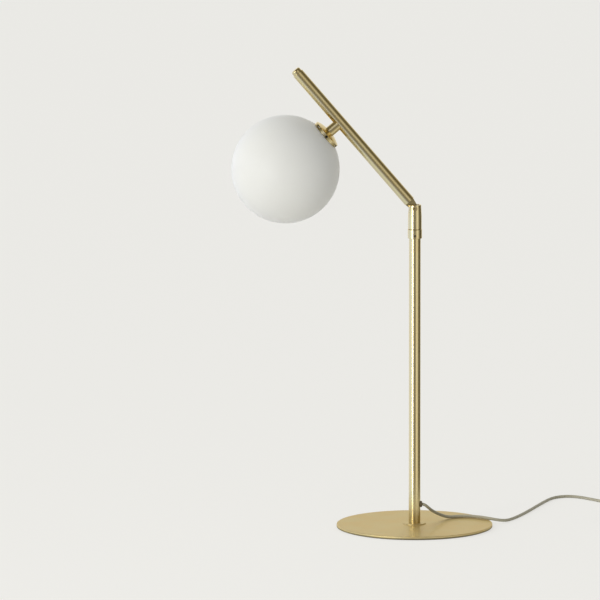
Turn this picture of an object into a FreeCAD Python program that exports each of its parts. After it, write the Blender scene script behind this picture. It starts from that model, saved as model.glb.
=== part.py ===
import FreeCAD, Part
import math
import os
import Sketcher

# Table lamp with an opal glass globe on a jointed brass stand.
#
# Millimetres, +Z up. The origin is the centre of the foot's underside, on the post's axis. The arm leans over
# towards -X in the XZ plane, and turns about the post (swivel) and about a pin along Y (knuckle).
#
# Each size in SIZES is a cell of the spreadsheet Dims. PLACES are lengths worked out from those cells. Outlines
# and placements are written with these names and bound to the cells by expressions.

Vector = FreeCAD.Vector

SIZES = (
    # foot
    ("base_dia", 173.0, "foot plate, outside"),
    ("base_thick", 3.2, "foot plate, thickness"),
    ("base_bevel", 0.6, "foot plate, bevel of its edges"),
    ("pad_thick", 0.7, "felt pad, thickness"),
    ("pad_inset", 2.5, "felt pad, set back from the plate's edge"),
    ("flange_dia", 25.0, "flange at the post's foot, outside"),
    ("flange_thick", 1.0, "flange, thickness"),
    ("flange_round", 0.6, "flange, rounding of its upper edge"),
    ("foot_screw_dia", 6.0, "screw that holds the post, thread"),
    ("foot_screw_head", 11.6, "screw that holds the post, countersunk head"),
    ("foot_screw_hex", 3.6, "screw that holds the post, hexagon across its flats"),
    ("foot_screw_grip", 14.0, "screw, length inside the post's plug"),
    ("foot_plug_len", 16.0, "plug in the post's lower end"),
    # post
    ("post_dia", 13.0, "post tube, outside"),
    ("post_wall", 1.2, "post tube, wall"),
    ("post_top", 334.5, "post tube, height of its upper end"),
    ("gland_up", 22.0, "cord bushing, height of its axis over the plate"),
    ("gland_dia", 7.0, "cord bushing, flange"),
    ("gland_out", 2.0, "cord bushing, how far its flange stands out"),
    ("gland_barrel", 5.4, "cord bushing, barrel in the post's wall"),
    # swivel
    ("collar_dia", 15.9, "collar ring, outside"),
    ("collar_len", 10.2, "collar ring, height"),
    ("collar_grub_up", 3.5, "collar's grub screw, height in the collar"),
    ("collar_lip", 0.5, "spindle shoulder on the post's end"),
    ("grub_dia", 3.0, "grub screws, thread"),
    ("grub_hex", 1.5, "grub screws, hexagon across its flats"),
    ("spindle_dia", 9.0, "swivel spindle, journal"),
    ("spindle_root", 20.0, "swivel spindle, length in the post"),
    ("spindle_head", 11.2, "swivel spindle, head"),
    ("spindle_head_thick", 2.0, "swivel spindle, head thickness"),
    ("wire_bore", 5.2, "wire way through spindle and sleeve"),
    ("bush_len", 8.6, "swivel bush, length"),
    ("bush_dia", 12.0, "swivel bush, outside"),
    ("washer_thick", 0.5, "friction washers, thickness"),
    # knuckle
    ("sleeve_dia", 15.2, "knuckle sleeve, outside"),
    ("sleeve_top_dia", 14.0, "knuckle sleeve, outside at its top"),
    ("sleeve_len", 27.2, "knuckle sleeve, length"),
    ("sleeve_taper", 13.0, "knuckle sleeve, length of its tapered top"),
    ("pivot_drop", 3.5, "pivot axis, below the sleeve's top"),
    ("slot_width", 4.4, "slot in the sleeve"),
    ("slot_back", 1.0, "slot, behind the tongue's eye"),
    ("slot_depth", 5.4, "slot, depth below the pivot axis"),
    ("pivot_dia", 3.0, "pivot screw, shank"),
    ("pivot_head", 5.4, "pivot screw and nut, heads"),
    ("pivot_head_thick", 2.2, "pivot screw and nut, head thickness"),
    ("pivot_short", 0.8, "pivot screw, its end below the nut's face"),
    ("pivot_inset", 0.6, "pivot screw and nut, faces set in from the sleeve's side"),
    ("pivot_hex", 2.5, "pivot screw, hexagon across its flats"),
    ("eye_dia", 7.6, "tongue, round its pivot hole"),
    ("tongue_thick", 3.2, "tongue, thickness"),
    ("tongue_root", 11.4, "tongue, width where the arm tube starts"),
    ("groove_wide", 2.0, "tongue's wire groove, width"),
    ("groove_deep", 1.1, "tongue's wire groove, depth"),
    ("spigot_len", 18.0, "tongue's spigot in the arm tube"),
    # arm
    ("lean", 40.7, "arm, angle from upright"),
    ("arm_dia", 12.6, "arm tube, outside"),
    ("arm_wall", 1.1, "arm tube, wall"),
    ("arm_start", 9.4, "arm tube, first end from the pivot"),
    ("arm_len", 189.6, "arm tube, length"),
    ("end_plug_dia", 10.7, "end plug, outside of its dome"),
    ("end_plug_out", 4.8, "end plug, how far it stands out"),
    ("end_plug_round", 1.9, "end plug, rounding of its head"),
    ("end_plug_root", 8.0, "end plug, length in the tube"),
    ("stem_along", 126.2, "stem, from the pivot along the arm"),
    ("stem_dia", 11.8, "stem tube, outside"),
    ("stem_bore", 8.0, "stem tube, bore"),
    ("arm_hole", 6.0, "hole in the arm tube for the wires"),
    # globe holder
    ("globe_dia", 120.0, "glass globe, outside"),
    ("glass_thick", 2.5, "glass globe, wall"),
    ("stem_reach", 15.76, "stem, from the arm's axis to the cap"),
    ("neck_dia", 28.0, "globe's neck, outside"),
    ("neck_bore", 23.8, "globe's neck, bore"),
    ("neck_up", 0.2, "globe's neck, top above the sphere's apex"),
    ("lug_out", 1.2, "globe's bayonet lugs, how far they stand out"),
    ("lug_width", 7.0, "globe's bayonet lugs, width"),
    ("lug_thick", 1.4, "globe's bayonet lugs, height"),
    ("cap_dia", 34.6, "cap, outside"),
    ("cap_wall", 1.4, "cap, wall of its rim"),
    ("cap_rim", 3.5, "cap, height of its rim"),
    ("cap_rise", 3.4, "cap, rise of its domed top"),
    ("cap_window", 6.0, "cap, width of its bayonet windows"),
    ("cap_window_up", 2.2, "cap, height of its bayonet windows"),
    ("gasket_thick", 0.8, "rubber ring on the globe's neck"),
    ("nipple_dia", 8.0, "threaded nipple, outside"),
    ("nipple_bore", 5.0, "threaded nipple, bore"),
    ("nipple_up", 8.0, "threaded nipple, length in the stem"),
    ("nut_flats", 13.0, "nut on the nipple, across its flats"),
    ("nut_thick", 2.6, "nut on the nipple, thickness"),
    ("holder_dia", 19.0, "lampholder, outside"),
    ("holder_len", 24.0, "lampholder, length"),
    ("holder_socket", 6.0, "lampholder, depth of its pin sockets"),
    ("bulb_dia", 16.0, "bulb, outside"),
    ("bulb_len", 44.0, "bulb, length without its pins"),
    ("bulb_step", 1.0, "bulb, narrower at its base by this on each side"),
    ("bulb_pin_dia", 1.4, "bulb pins, diameter"),
    ("bulb_pin_gap", 9.0, "bulb pins, between their centres"),
    ("arm_lead_dia", 3.6, "wires in the arm, bundle"),
    # cord
    ("cord_dia", 3.3, "cord, outside"),
    ("coil_mean_dia", 43.0, "cord coil, across at the middle of its turns"),
    ("coil_pitch", 4.3, "cord coil, from turn to turn"),
    ("switch_len", 60.0, "cord switch, length"),
    ("switch_width", 24.0, "cord switch, width"),
    ("switch_low", 8.4, "cord switch, height of its lower shell"),
    ("switch_high", 8.0, "cord switch, height of its upper shell"),
    ("switch_wall", 1.8, "cord switch, wall"),
    ("switch_bore_up", 7.0, "cord switch, height of the cord through it"),
    ("switch_screw_gap", 43.2, "cord switch, between its two screws"),
    ("switch_round", 3.0, "cord switch, rounding of its top"),
    ("rocker_len", 17.0, "rocker, length"),
    ("rocker_width", 10.0, "rocker, width"),
    ("rocker_rise", 1.2, "rocker, height of its waist over the shell"),
    ("rocker_horn", 1.6, "rocker, height of its ends over its waist"),
    ("rocker_pin", 1.6, "rocker, diameter of its pins"),
    ("rocker_ear", 2.0, "cheeks beside the rocker, thickness"),
    ("rocker_tilt", 8.0, "rocker, tilt either way"),
    ("plug_len", 36.0, "plug body, length"),
    ("plug_width", 26.0, "plug body, width at the pins"),
    ("plug_neck", 9.0, "plug body, width at the cord"),
    ("plug_boot", 14.0, "plug's strain relief, length"),
    ("boot_wall", 0.8, "plug's strain relief, wall at its tip"),
    ("boot_root", 2.0, "plug's strain relief, wall at the plug"),
    ("pin_dia", 4.0, "plug pins, diameter"),
    ("pin_len", 19.0, "plug pins, length"),
    ("pin_gap", 19.0, "plug pins, between their centres"),
    # small edges
    ("edge_break", 0.3, "bevels of small edges"),
    ("edge_round", 0.5, "roundings of small edges"),
    ("weld", 0.2, "overlap where two features of one sub-part join"),
    # clearances
    ("run_fit", 0.05, "running fit, on the radius"),
    ("slide_gap", 0.3, "gap between parts that move past each other"),
)

PLACES = {
    "base_top": "(pad_thick + base_thick)",
    "flange_top": "(base_top + flange_thick)",
    "post_r": "(post_dia / 2)",
    "post_bore_r": "(post_dia / 2 - post_wall)",
    "gland_z": "(base_top + gland_up)",
    "gland_face": "(post_r + gland_out)",
    "collar_top": "(post_top + collar_lip)",
    "collar_low": "(collar_top - collar_len)",
    "journal_r": "(spindle_dia / 2)",
    "sleeve_low": "(collar_top + slide_gap)",
    "bush_top": "(sleeve_low + bush_len)",
    "washer_low": "(bush_top + 2 * run_fit)",
    "head_low": "(washer_low + washer_thick)",
    "head_top": "(head_low + spindle_head_thick)",
    "chamber_top": "(head_top + 2 * slide_gap)",
    "sleeve_top": "(sleeve_low + sleeve_len)",
    "pivot_z": "(sleeve_top - pivot_drop)",
    "pivot_face": "(sleeve_top_dia / 2 - pivot_inset)",
    "arm_r": "(arm_dia / 2)",
    "arm_bore_r": "(arm_dia / 2 - arm_wall)",
    "arm_end": "(arm_start + arm_len)",
    "globe_r": "(globe_dia / 2)",
    "glass_in_r": "(globe_dia / 2 - glass_thick)",
    "neck_r": "(neck_dia / 2)",
    "neck_in_r": "(neck_bore / 2)",
    "neck_top": "(globe_r + neck_up)",
    "cap_in_r": "(cap_dia / 2 - cap_wall)",
    "cap_low": "(sqrt(globe_r ^ 2 - cap_in_r ^ 2) + slide_gap)",
    "cap_skirt": "(sqrt(globe_r ^ 2 - (cap_dia / 2) ^ 2) + slide_gap)",
    "cap_edge": "(cap_skirt + cap_rim)",
    "cap_roof": "(neck_top + gasket_thick)",
    "cap_apex": "(cap_edge + cap_rise)",
    "globe_drop": "(cap_apex + stem_reach)",
    "nut_low": "(cap_roof - nut_thick)",
    "holder_top": "nut_low",
    "holder_low": "(holder_top - holder_len)",
    "bulb_top": "(holder_low - slide_gap)",
    "cord_r": "(cord_dia / 2)",
    "switch_top": "(switch_low + switch_high)",
    "switch_roof": "(switch_top - switch_wall)",
    "rocker_z": "(switch_roof - rocker_pin)",
    "rocker_face": "(switch_top - rocker_z + rocker_rise)",
}

doc = FreeCAD.newDocument("globe_table_lamp")
sheet = doc.addObject("Spreadsheet::Sheet", "Dims")
for row, (alias, amount, note) in enumerate(SIZES, start=1):
    sheet.set("A%d" % row, note)
    sheet.set("B%d" % row, "%g" % amount)
    sheet.setAlias("B%d" % row, alias)
doc.recompute()
CELLS = {alias for alias, amount, note in SIZES}
NODES = []


def tie(text):
    """The expression for a text of size names: places are spelt out and cells get the sheet's name."""
    words = []
    word = ""
    for letter in text + " ":
        if letter.isalnum() or letter == "_":
            word += letter
            continue
        if word in PLACES:
            word = tie(PLACES[word])
        elif word in CELLS:
            word = "Dims." + word
        words.append(word + letter)
        word = ""
    return "".join(words).strip()


def size(text):
    """The number that a text of size names stands for."""
    return float(sheet.evalExpression(tie(text)))


def bind(item, prop, text):
    """Bind one property of an object to the sheet."""
    item.setExpression(prop, tie(text))


def place(item, across="0", depth="0", up="0", turn="0"):
    """Put a node at a point, turned about an axis along Y."""
    item.Placement = FreeCAD.Placement(Vector(), FreeCAD.Rotation(Vector(0, 1, 0), 1))
    bind(item, "Placement.Base.x", across)
    bind(item, "Placement.Base.y", depth)
    bind(item, "Placement.Base.z", up)
    bind(item, "Placement.Rotation.Angle", turn)


def place_on_arm(item, along="0", out="0", turn="-lean"):
    """Put a node by its distance along the arm from the pivot and its distance out towards the globe."""
    place(item, "-(%s) * sin(lean) - (%s) * cos(lean)" % (along, out), "0",
          "pivot_z + (%s) * cos(lean) - (%s) * sin(lean)" % (along, out), turn)


def place_at_globe(item):
    """Put a node in the globe's frame: its origin is the globe's centre, +Z points back to the arm."""
    place_on_arm(item, "stem_along", "globe_drop", "90 - lean")


def new_body(label):
    """An empty sub-part."""
    body = doc.addObject("PartDesign::Body", label)
    body.Label = label
    NODES.append(body)
    return body


def new_sketch(body, role, lift="0"):
    """A sketch on one of the body's own origin planes, lifted along the plane's normal."""
    plane = next(item for item in body.Origin.OriginFeatures if item.Role == role)
    sketch = body.newObject("Sketcher::SketchObject", body.Name + "_sketch")
    sketch.AttachmentSupport = [(plane, "")]
    sketch.MapMode = "FlatFace"
    bind(sketch, "AttachmentOffset.Base.z", lift)
    return sketch


def hold(sketch, kind, side, spot, text):
    """Hold one coordinate of a sketch point at a size; a plain 0 puts the point on the axis."""
    axis = -2 if kind == "DistanceX" else -1
    if text == "0":
        sketch.addConstraint(Sketcher.Constraint("PointOnObject", side, spot, axis))
        return
    index = sketch.addConstraint(Sketcher.Constraint(kind, -1, 1, side, spot, size(text)))
    bind(sketch, "Constraints[%d]" % index, text)


def draw_outline(sketch, corners, bends=None):
    """Draw a closed outline.

    corners holds pairs of texts. bends maps the number of a side, counted from the corner where it starts,
    to the centre of its arc, which coordinate of the centre is held ("x" or "y"), and "left" or "right" for
    the way that the arc turns.
    """
    bends = bends or {}
    spots = [(size(x), size(y)) for x, y in corners]
    sides = []
    for number, start in enumerate(spots):
        stop = spots[(number + 1) % len(spots)]
        if number in bends:
            centre = [size(text) for text in bends[number][0]]
            angles = [math.atan2(spot[1] - centre[1], spot[0] - centre[0]) for spot in (start, stop)]
            ends = (1, 2)
            if bends[number][2] == "right":
                angles.reverse()
                ends = (2, 1)
            circle = Part.Circle(Vector(*centre, 0), Vector(0, 0, 1), math.dist(start, centre))
            line = Part.ArcOfCircle(circle, *angles)
        else:
            ends = (1, 2)
            line = Part.LineSegment(Vector(*start, 0), Vector(*stop, 0))
        sides.append((sketch.addGeometry(line, False), *ends))
    for number, (side, first, last) in enumerate(sides):
        after = sides[(number + 1) % len(sides)]
        sketch.addConstraint(Sketcher.Constraint("Coincident", side, last, after[0], after[1]))
        hold(sketch, "DistanceX", side, first, corners[number][0])
        hold(sketch, "DistanceY", side, first, corners[number][1])
        if number in bends:
            centre, held, way = bends[number]
            if held == "x":
                hold(sketch, "DistanceX", side, 3, centre[0])
            else:
                hold(sketch, "DistanceY", side, 3, centre[1])


def draw_circle(sketch, across, up, radius):
    """Draw a circle."""
    circle = Part.Circle(Vector(size(across), size(up), 0), Vector(0, 0, 1), size(radius))
    index = sketch.addGeometry(circle, False)
    hold(sketch, "DistanceX", index, 3, across)
    hold(sketch, "DistanceY", index, 3, up)
    held = sketch.addConstraint(Sketcher.Constraint("Radius", index, size(radius)))
    bind(sketch, "Constraints[%d]" % held, radius)


def box_corners(left, low, right, high):
    """The corners of an upright rectangle."""
    return [(left, low), (right, low), (right, high), (left, high)]


def hexagon(flats):
    """The corners of a hexagon from its width across flats."""
    corners = []
    for number in range(6):
        angle = 60 * number
        corners.append(("(%s) / sqrt(3) * cos(%d)" % (flats, angle), "(%s) / sqrt(3) * sin(%d)" % (flats, angle)))
    return corners


def turned(label, corners, bends=None, role="XZ_Plane", axis="V_Axis"):
    """A sub-part turned from an outline of (radius, height) corners."""
    body = new_body(label)
    sketch = new_sketch(body, role)
    draw_outline(sketch, corners, bends)
    turn = body.newObject("PartDesign::Revolution", label + "_turned")
    turn.Profile = sketch
    turn.ReferenceAxis = (sketch, [axis])
    turn.Angle = 360
    return body


def add_turned(body, corners, role="XZ_Plane"):
    """Add a second turned outline to a sub-part."""
    sketch = new_sketch(body, role)
    draw_outline(sketch, corners)
    turn = body.newObject("PartDesign::Revolution", body.Name + "_turned")
    turn.Profile = sketch
    turn.ReferenceAxis = (sketch, ["V_Axis"])
    turn.Angle = 360
    doc.recompute()


def ring(label, bore, outer, low, high, role="XZ_Plane"):
    """A plain turned ring or tube."""
    return turned(label, box_corners(bore, low, outer, high), role=role)


def add_pad(body, role, middle, length, corners, bends=None):
    """Add material to both sides of a plane lifted by middle."""
    sketch = new_sketch(body, role, middle)
    draw_outline(sketch, corners, bends)
    pad = body.newObject("PartDesign::Pad", body.Name + "_pad")
    pad.Profile = sketch
    pad.Midplane = True
    bind(pad, "Length", length)
    return pad


def add_pocket(body, role, middle, length, corners=None, circles=(), bends=None):
    """Cut an outline or circles out, to both sides of a plane lifted by middle."""
    before = body.Shape.Volume if body.Tip else 0
    sketch = new_sketch(body, role, middle)
    if corners:
        draw_outline(sketch, corners, bends)
    for across, up, radius in circles:
        draw_circle(sketch, across, up, radius)
    pocket = body.newObject("PartDesign::Pocket", body.Name + "_pocket")
    pocket.Profile = sketch
    pocket.Midplane = True
    bind(pocket, "Length", length)
    doc.recompute()
    if before and body.Shape.Volume >= before:
        raise SystemExit("cut without effect in " + body.Label)
    return pocket


def repeat_round(body, feature, count, axis):
    """Repeat a feature evenly round one of the body's own origin axes."""
    line = next(item for item in body.Origin.OriginFeatures if item.Role == axis)
    pattern = body.newObject("PartDesign::PolarPattern", body.Name + "_round")
    pattern.Originals = [feature]
    pattern.Axis = (line, [""])
    pattern.Angle = 360
    pattern.Occurrences = count
    body.Tip = pattern
    return pattern


def edges_where(body, test):
    """The names of the body's edges that pass a test of their bounding box."""
    return ["Edge%d" % number for number, edge in enumerate(body.Shape.Edges, start=1) if test(edge.BoundBox)]


def round_edges(body, test, radius):
    """Round the edges that pass a test."""
    doc.recompute()
    base = (body.Tip, edges_where(body, test))
    fillet = body.newObject("PartDesign::Fillet", body.Name + "_round")
    fillet.Base = base
    bind(fillet, "Radius", radius)
    doc.recompute()


def pipe_solid(edges, radius):
    """A round tube along joined edges, checked against its section times its length."""
    path = Part.Wire(edges)
    start = edges[0].valueAt(edges[0].FirstParameter)
    along = edges[0].tangentAt(edges[0].FirstParameter)
    profile = Part.Wire([Part.Circle(start, along, radius).toShape()])
    solid = path.makePipeShell([profile], True)
    expected = math.pi * radius ** 2 * path.Length
    print("tube length %.1f, volume over section times length %.4f" % (path.Length, solid.Volume / expected))
    return solid


def bent_edges(route, label):
    """Straight runs joined by tangent arcs, each arc as large as its two runs allow."""
    points = [Vector(*point) for point in route]
    edges = []
    radii = []
    last = points[0]
    for before, corner, after in zip(points, points[1:], points[2:]):
        into = (corner - before).normalize()
        out = (after - corner).normalize()
        run = min((corner - before).Length, (after - corner).Length)
        half = into.getAngle(out) / 2
        setback = 0.45 * run
        radii.append(setback / math.tan(half))
        start = corner - into * setback
        stop = corner + out * setback
        centre_way = (out - into).normalize()
        centre = corner + centre_way * (setback / math.sin(half))
        middle = centre - centre_way * radii[-1]
        edges.append(Part.LineSegment(last, start).toShape())
        edges.append(Part.Arc(start, middle, stop).toShape())
        last = stop
    edges.append(Part.LineSegment(last, points[-1]).toShape())
    print(label, "radii", " ".join("%.1f" % radius for radius in radii))
    return edges


def add_shape(label, shape):
    """A sub-part with a shape of its own, for a tube that no primitive makes."""
    item = doc.addObject("Part::Feature", label)
    item.Label = label
    item.Shape = shape
    item.Placement = FreeCAD.Placement()
    NODES.append(item)
    return item


# ---------------------------------------------------------------- foot

turned("base_pad", box_corners("0", "0", "base_dia / 2 - pad_inset", "pad_thick"))

# The plate has bevelled edges, a clear hole for the post's screw and a countersink for its head.
turned("base_plate", [
    ("foot_screw_dia / 2 + slide_gap", "base_top"),
    ("foot_screw_dia / 2 + slide_gap", "pad_thick + foot_screw_head / 2 - foot_screw_dia / 2"),
    ("foot_screw_head / 2 + slide_gap", "pad_thick"),
    ("base_dia / 2 - base_bevel", "pad_thick"),
    ("base_dia / 2", "pad_thick + base_bevel"),
    ("base_dia / 2", "base_top - base_bevel"),
    ("base_dia / 2 - base_bevel", "base_top"),
])

base_screw = turned("base_screw", [
    ("0", "pad_thick"),
    ("foot_screw_head / 2", "pad_thick"),
    ("foot_screw_dia / 2", "pad_thick + foot_screw_head / 2 - foot_screw_dia / 2"),
    ("foot_screw_dia / 2", "flange_top + foot_screw_grip"),
    ("0", "flange_top + foot_screw_grip"),
])
doc.recompute()
add_pocket(base_screw, "XY_Plane", "pad_thick", "base_thick", hexagon("foot_screw_hex"))

# The flange's upper edge is rounded down to the plate.
turned("foot_flange", [
    ("foot_screw_dia / 2 + slide_gap", "base_top"),
    ("flange_dia / 2", "base_top"),
    ("flange_dia / 2", "flange_top - flange_round"),
    ("flange_dia / 2 - flange_round", "flange_top"),
    ("foot_screw_dia / 2 + slide_gap", "flange_top"),
], {2: (("flange_dia / 2 - flange_round", "flange_top - flange_round"), "x", "left")})

# The plug is tapped right through and its upper edge is bevelled for driving it in.
turned("post_plug", [
    ("foot_screw_dia / 2", "flange_top"),
    ("post_bore_r", "flange_top"),
    ("post_bore_r", "flange_top + foot_plug_len - post_wall"),
    ("post_bore_r - post_wall", "flange_top + foot_plug_len"),
    ("foot_screw_dia / 2", "flange_top + foot_plug_len"),
])

# ---------------------------------------------------------------- post

post_tube = ring("post_tube", "post_bore_r", "post_r", "flange_top", "post_top")
doc.recompute()
add_pocket(post_tube, "YZ_Plane", "post_dia / 2", "post_dia / 2",
           circles=[("0", "gland_z", "gland_barrel / 2")])

# The bushing is turned about X: a domed flange outside the post and a barrel through the post's wall.
gland = turned("cord_gland", [
    ("post_bore_r", "gland_barrel / 2 - weld"),
    ("post_bore_r", "gland_dia / 2"),
    ("gland_face - gland_out / 2", "gland_dia / 2"),
    ("gland_face", "gland_barrel / 2 + weld"),
    ("gland_face", "gland_barrel / 2 - weld"),
], axis="H_Axis")
doc.recompute()
# The flange's back is hollowed to sit on the round post.
add_pocket(gland, "XY_Plane", "0", "gland_dia * 2", circles=[("0", "0", "post_r")])
barrel = new_sketch(gland, "XZ_Plane")
draw_outline(barrel, box_corners("post_bore_r", "cord_r + run_fit", "gland_face", "gland_barrel / 2"))
barrel_turn = gland.newObject("PartDesign::Revolution", "cord_gland_barrel")
barrel_turn.Profile = barrel
barrel_turn.ReferenceAxis = (barrel, ["H_Axis"])
barrel_turn.Angle = 360
doc.recompute()
bind(gland, "Placement.Base.z", "gland_z")

# Inside the post the cord turns up and runs to the knuckle's wire way.
lead_turn = size("post_bore_r") - size("post_wall")
lead_low = Vector(0, 0, size("gland_z") + lead_turn)
lead_in = Vector(lead_turn, 0, size("gland_z"))
lead_mid = Vector(lead_turn, 0, lead_low.z) - Vector(1, 0, 1) * (lead_turn / math.sqrt(2))
lead_edges = [
    Part.LineSegment(Vector(size("gland_face"), 0, size("gland_z")), lead_in).toShape(),
    Part.Arc(lead_in, lead_mid, lead_low).toShape(),
    Part.LineSegment(lead_low, Vector(0, 0, size("chamber_top"))).toShape(),
]
add_shape("post_lead", pipe_solid(lead_edges, size("cord_r")))

# ---------------------------------------------------------------- swivel

# The collar's lower edge is rounded in to the post.
collar_ring = turned("collar_ring", [
    ("post_r", "collar_low"),
    ("collar_dia / 2 - edge_round", "collar_low"),
    ("collar_dia / 2", "collar_low + edge_round"),
    ("collar_dia / 2", "collar_top - edge_break"),
    ("collar_dia / 2 - edge_break", "collar_top"),
    ("post_r", "collar_top"),
], {1: (("collar_dia / 2 - edge_round", "collar_low + edge_round"), "x", "left")})
doc.recompute()
add_pocket(collar_ring, "XZ_Plane", "collar_dia / 2", "collar_dia - post_dia + 2 * weld",
           circles=[("0", "collar_low + collar_grub_up", "grub_dia / 2")])


def grub_screw(label, length):
    """A socket grub screw along Y, its outer end at the origin."""
    screw = turned(label, box_corners("0", "0", "grub_dia / 2", length), role="XY_Plane")
    doc.recompute()
    add_pocket(screw, "XZ_Plane", "0", "(%s) * 0.9" % length, hexagon("grub_hex"))
    return screw


collar_grub = grub_screw("collar_grub_screw", "(collar_dia - post_dia) / 2 - edge_round")
place(collar_grub, depth="-collar_dia / 2 + edge_round", up="collar_low + collar_grub_up")

# The spindle: root in the post, shoulder on its end, journal for the bush, head that traps the bush.
turned("swivel_spindle", [
    ("wire_bore / 2", "post_top - spindle_root"),
    ("post_bore_r", "post_top - spindle_root"),
    ("post_bore_r", "post_top"),
    ("post_r", "post_top"),
    ("post_r", "collar_top"),
    ("journal_r", "collar_top"),
    ("journal_r", "head_low"),
    ("spindle_head / 2", "head_low"),
    ("spindle_head / 2", "head_top - edge_break"),
    ("spindle_head / 2 - edge_break", "head_top"),
    ("wire_bore / 2", "head_top"),
])
ring("swivel_washer", "journal_r + run_fit", "spindle_head / 2", "washer_low", "head_low")
ring("swivel_bush", "journal_r + run_fit", "bush_dia / 2", "sleeve_low", "bush_top")

# ---------------------------------------------------------------- knuckle

# The sleeve: tapered top, bore and chamber for the swivel, wire way up to the slot's floor.
knuckle_sleeve = turned("knuckle_sleeve", [
    ("bush_dia / 2", "sleeve_low"),
    ("sleeve_dia / 2 - edge_break", "sleeve_low"),
    ("sleeve_dia / 2", "sleeve_low + edge_break"),
    ("sleeve_dia / 2", "sleeve_top - sleeve_taper"),
    ("sleeve_top_dia / 2", "sleeve_top - edge_round"),
    ("sleeve_top_dia / 2 - edge_round", "sleeve_top"),
    ("wire_bore / 2", "sleeve_top"),
    ("wire_bore / 2", "chamber_top"),
    ("bush_dia / 2", "chamber_top"),
], {4: (("sleeve_top_dia / 2 - edge_round", "sleeve_top - edge_round"), "x", "left")})
doc.recompute()
# The sleeve is solid round the pivot: the wire way ends below the slot.
core = "wire_bore / 2 + slide_gap"
add_pad(knuckle_sleeve, "XY_Plane", "(sleeve_top + pivot_z - slot_depth) / 2", "sleeve_top - pivot_z + slot_depth",
        box_corners("-(%s)" % core, "-(%s)" % core, core, core))
doc.recompute()
# The slot is open towards the arm and above, and stops at a wall behind the eye.
add_pocket(knuckle_sleeve, "XZ_Plane", "0", "slot_width", [
    ("-sleeve_dia", "pivot_z - slot_depth"),
    ("eye_dia / 2 + slot_back", "pivot_z - slot_depth"),
    ("eye_dia / 2 + slot_back", "sleeve_top + sleeve_taper"),
    ("-sleeve_dia", "sleeve_top + sleeve_taper"),
])
add_pocket(knuckle_sleeve, "XZ_Plane", "0", "sleeve_dia * 2", circles=[("0", "pivot_z", "pivot_dia / 2")])
for middle in ("sleeve_dia", "-sleeve_dia"):
    add_pocket(knuckle_sleeve, "XZ_Plane", middle, "2 * (sleeve_dia - pivot_face + pivot_head_thick)",
               circles=[("0", "pivot_z", "pivot_head / 2")])

pivot_screw = turned("pivot_screw", [
    ("0", "-pivot_face"),
    ("pivot_head / 2 - edge_break", "-pivot_face"),
    ("pivot_head / 2", "-pivot_face + edge_break"),
    ("pivot_head / 2", "-pivot_face + pivot_head_thick"),
    ("pivot_dia / 2", "-pivot_face + pivot_head_thick"),
    ("pivot_dia / 2", "pivot_face - pivot_short"),
    ("0", "pivot_face - pivot_short"),
], role="XY_Plane")
doc.recompute()
add_pocket(pivot_screw, "XZ_Plane", "pivot_face", "2 * (pivot_head_thick - pivot_short)", hexagon("pivot_hex"))
place(pivot_screw, up="pivot_z")

pivot_nut = turned("pivot_nut", [
    ("pivot_dia / 2", "pivot_face - pivot_head_thick"),
    ("pivot_head / 2", "pivot_face - pivot_head_thick"),
    ("pivot_head / 2", "pivot_face - edge_break"),
    ("pivot_head / 2 - edge_break", "pivot_face"),
    ("pivot_dia / 2", "pivot_face"),
], role="XY_Plane")
place(pivot_nut, up="pivot_z")

# Two washers in one node, one on each cheek of the slot.
pivot_washers = ring("pivot_washers", "pivot_dia / 2", "eye_dia / 2", "slot_width / 2 - washer_thick",
                     "slot_width / 2", role="XY_Plane")
add_turned(pivot_washers, box_corners("pivot_dia / 2", "-slot_width / 2", "eye_dia / 2",
                                      "washer_thick - slot_width / 2"), role="XY_Plane")
place(pivot_washers, up="pivot_z")

# The arm's tongue: a flat eye that widens to the arm tube, and a round spigot in the tube.
# The straight flanks leave the eye where they are tangent to it, near its widest point.
arm_tongue = new_body("arm_tongue")
add_pad(arm_tongue, "XZ_Plane", "0", "tongue_thick", [
    ("-eye_dia / 2", "0"),
    ("eye_dia / 2", "0"),
    ("tongue_root / 2", "arm_start"),
    ("-tongue_root / 2", "arm_start"),
], {0: (("0", "0"), "y", "left")})
doc.recompute()
add_turned(arm_tongue, [
    ("0", "arm_start"),
    ("arm_bore_r", "arm_start"),
    ("arm_bore_r", "arm_start + spigot_len - edge_round"),
    ("arm_bore_r - edge_round", "arm_start + spigot_len"),
    ("0", "arm_start + spigot_len"),
])
add_pocket(arm_tongue, "XZ_Plane", "0", "tongue_thick * 2", circles=[("0", "0", "pivot_dia / 2 + run_fit")])
# A groove down one face takes the two wires past the eye.
add_pocket(arm_tongue, "XZ_Plane", "-tongue_thick / 2", "2 * groove_deep",
           box_corners("-groove_wide / 2", "eye_dia / 2 + slot_back", "groove_wide / 2", "arm_start"))
place_on_arm(arm_tongue)

# ---------------------------------------------------------------- arm

arm_tube = ring("arm_tube", "arm_bore_r", "arm_r", "arm_start", "arm_end")
doc.recompute()
add_pocket(arm_tube, "YZ_Plane", "-arm_r", "arm_r", circles=[("0", "stem_along", "arm_hole / 2")])
place_on_arm(arm_tube)

# The end plug has a domed head a little smaller than the tube.
end_plug = turned("arm_end_plug", [
    ("0", "arm_end - end_plug_root"),
    ("arm_bore_r", "arm_end - end_plug_root"),
    ("arm_bore_r", "arm_end"),
    ("end_plug_dia / 2", "arm_end"),
    ("end_plug_dia / 2", "arm_end + end_plug_out - end_plug_round"),
    ("end_plug_dia / 2 - end_plug_round", "arm_end + end_plug_out"),
    ("0", "arm_end + end_plug_out"),
], {4: (("end_plug_dia / 2 - end_plug_round", "arm_end + end_plug_out - end_plug_round"), "x", "left")})
place_on_arm(end_plug)

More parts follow.
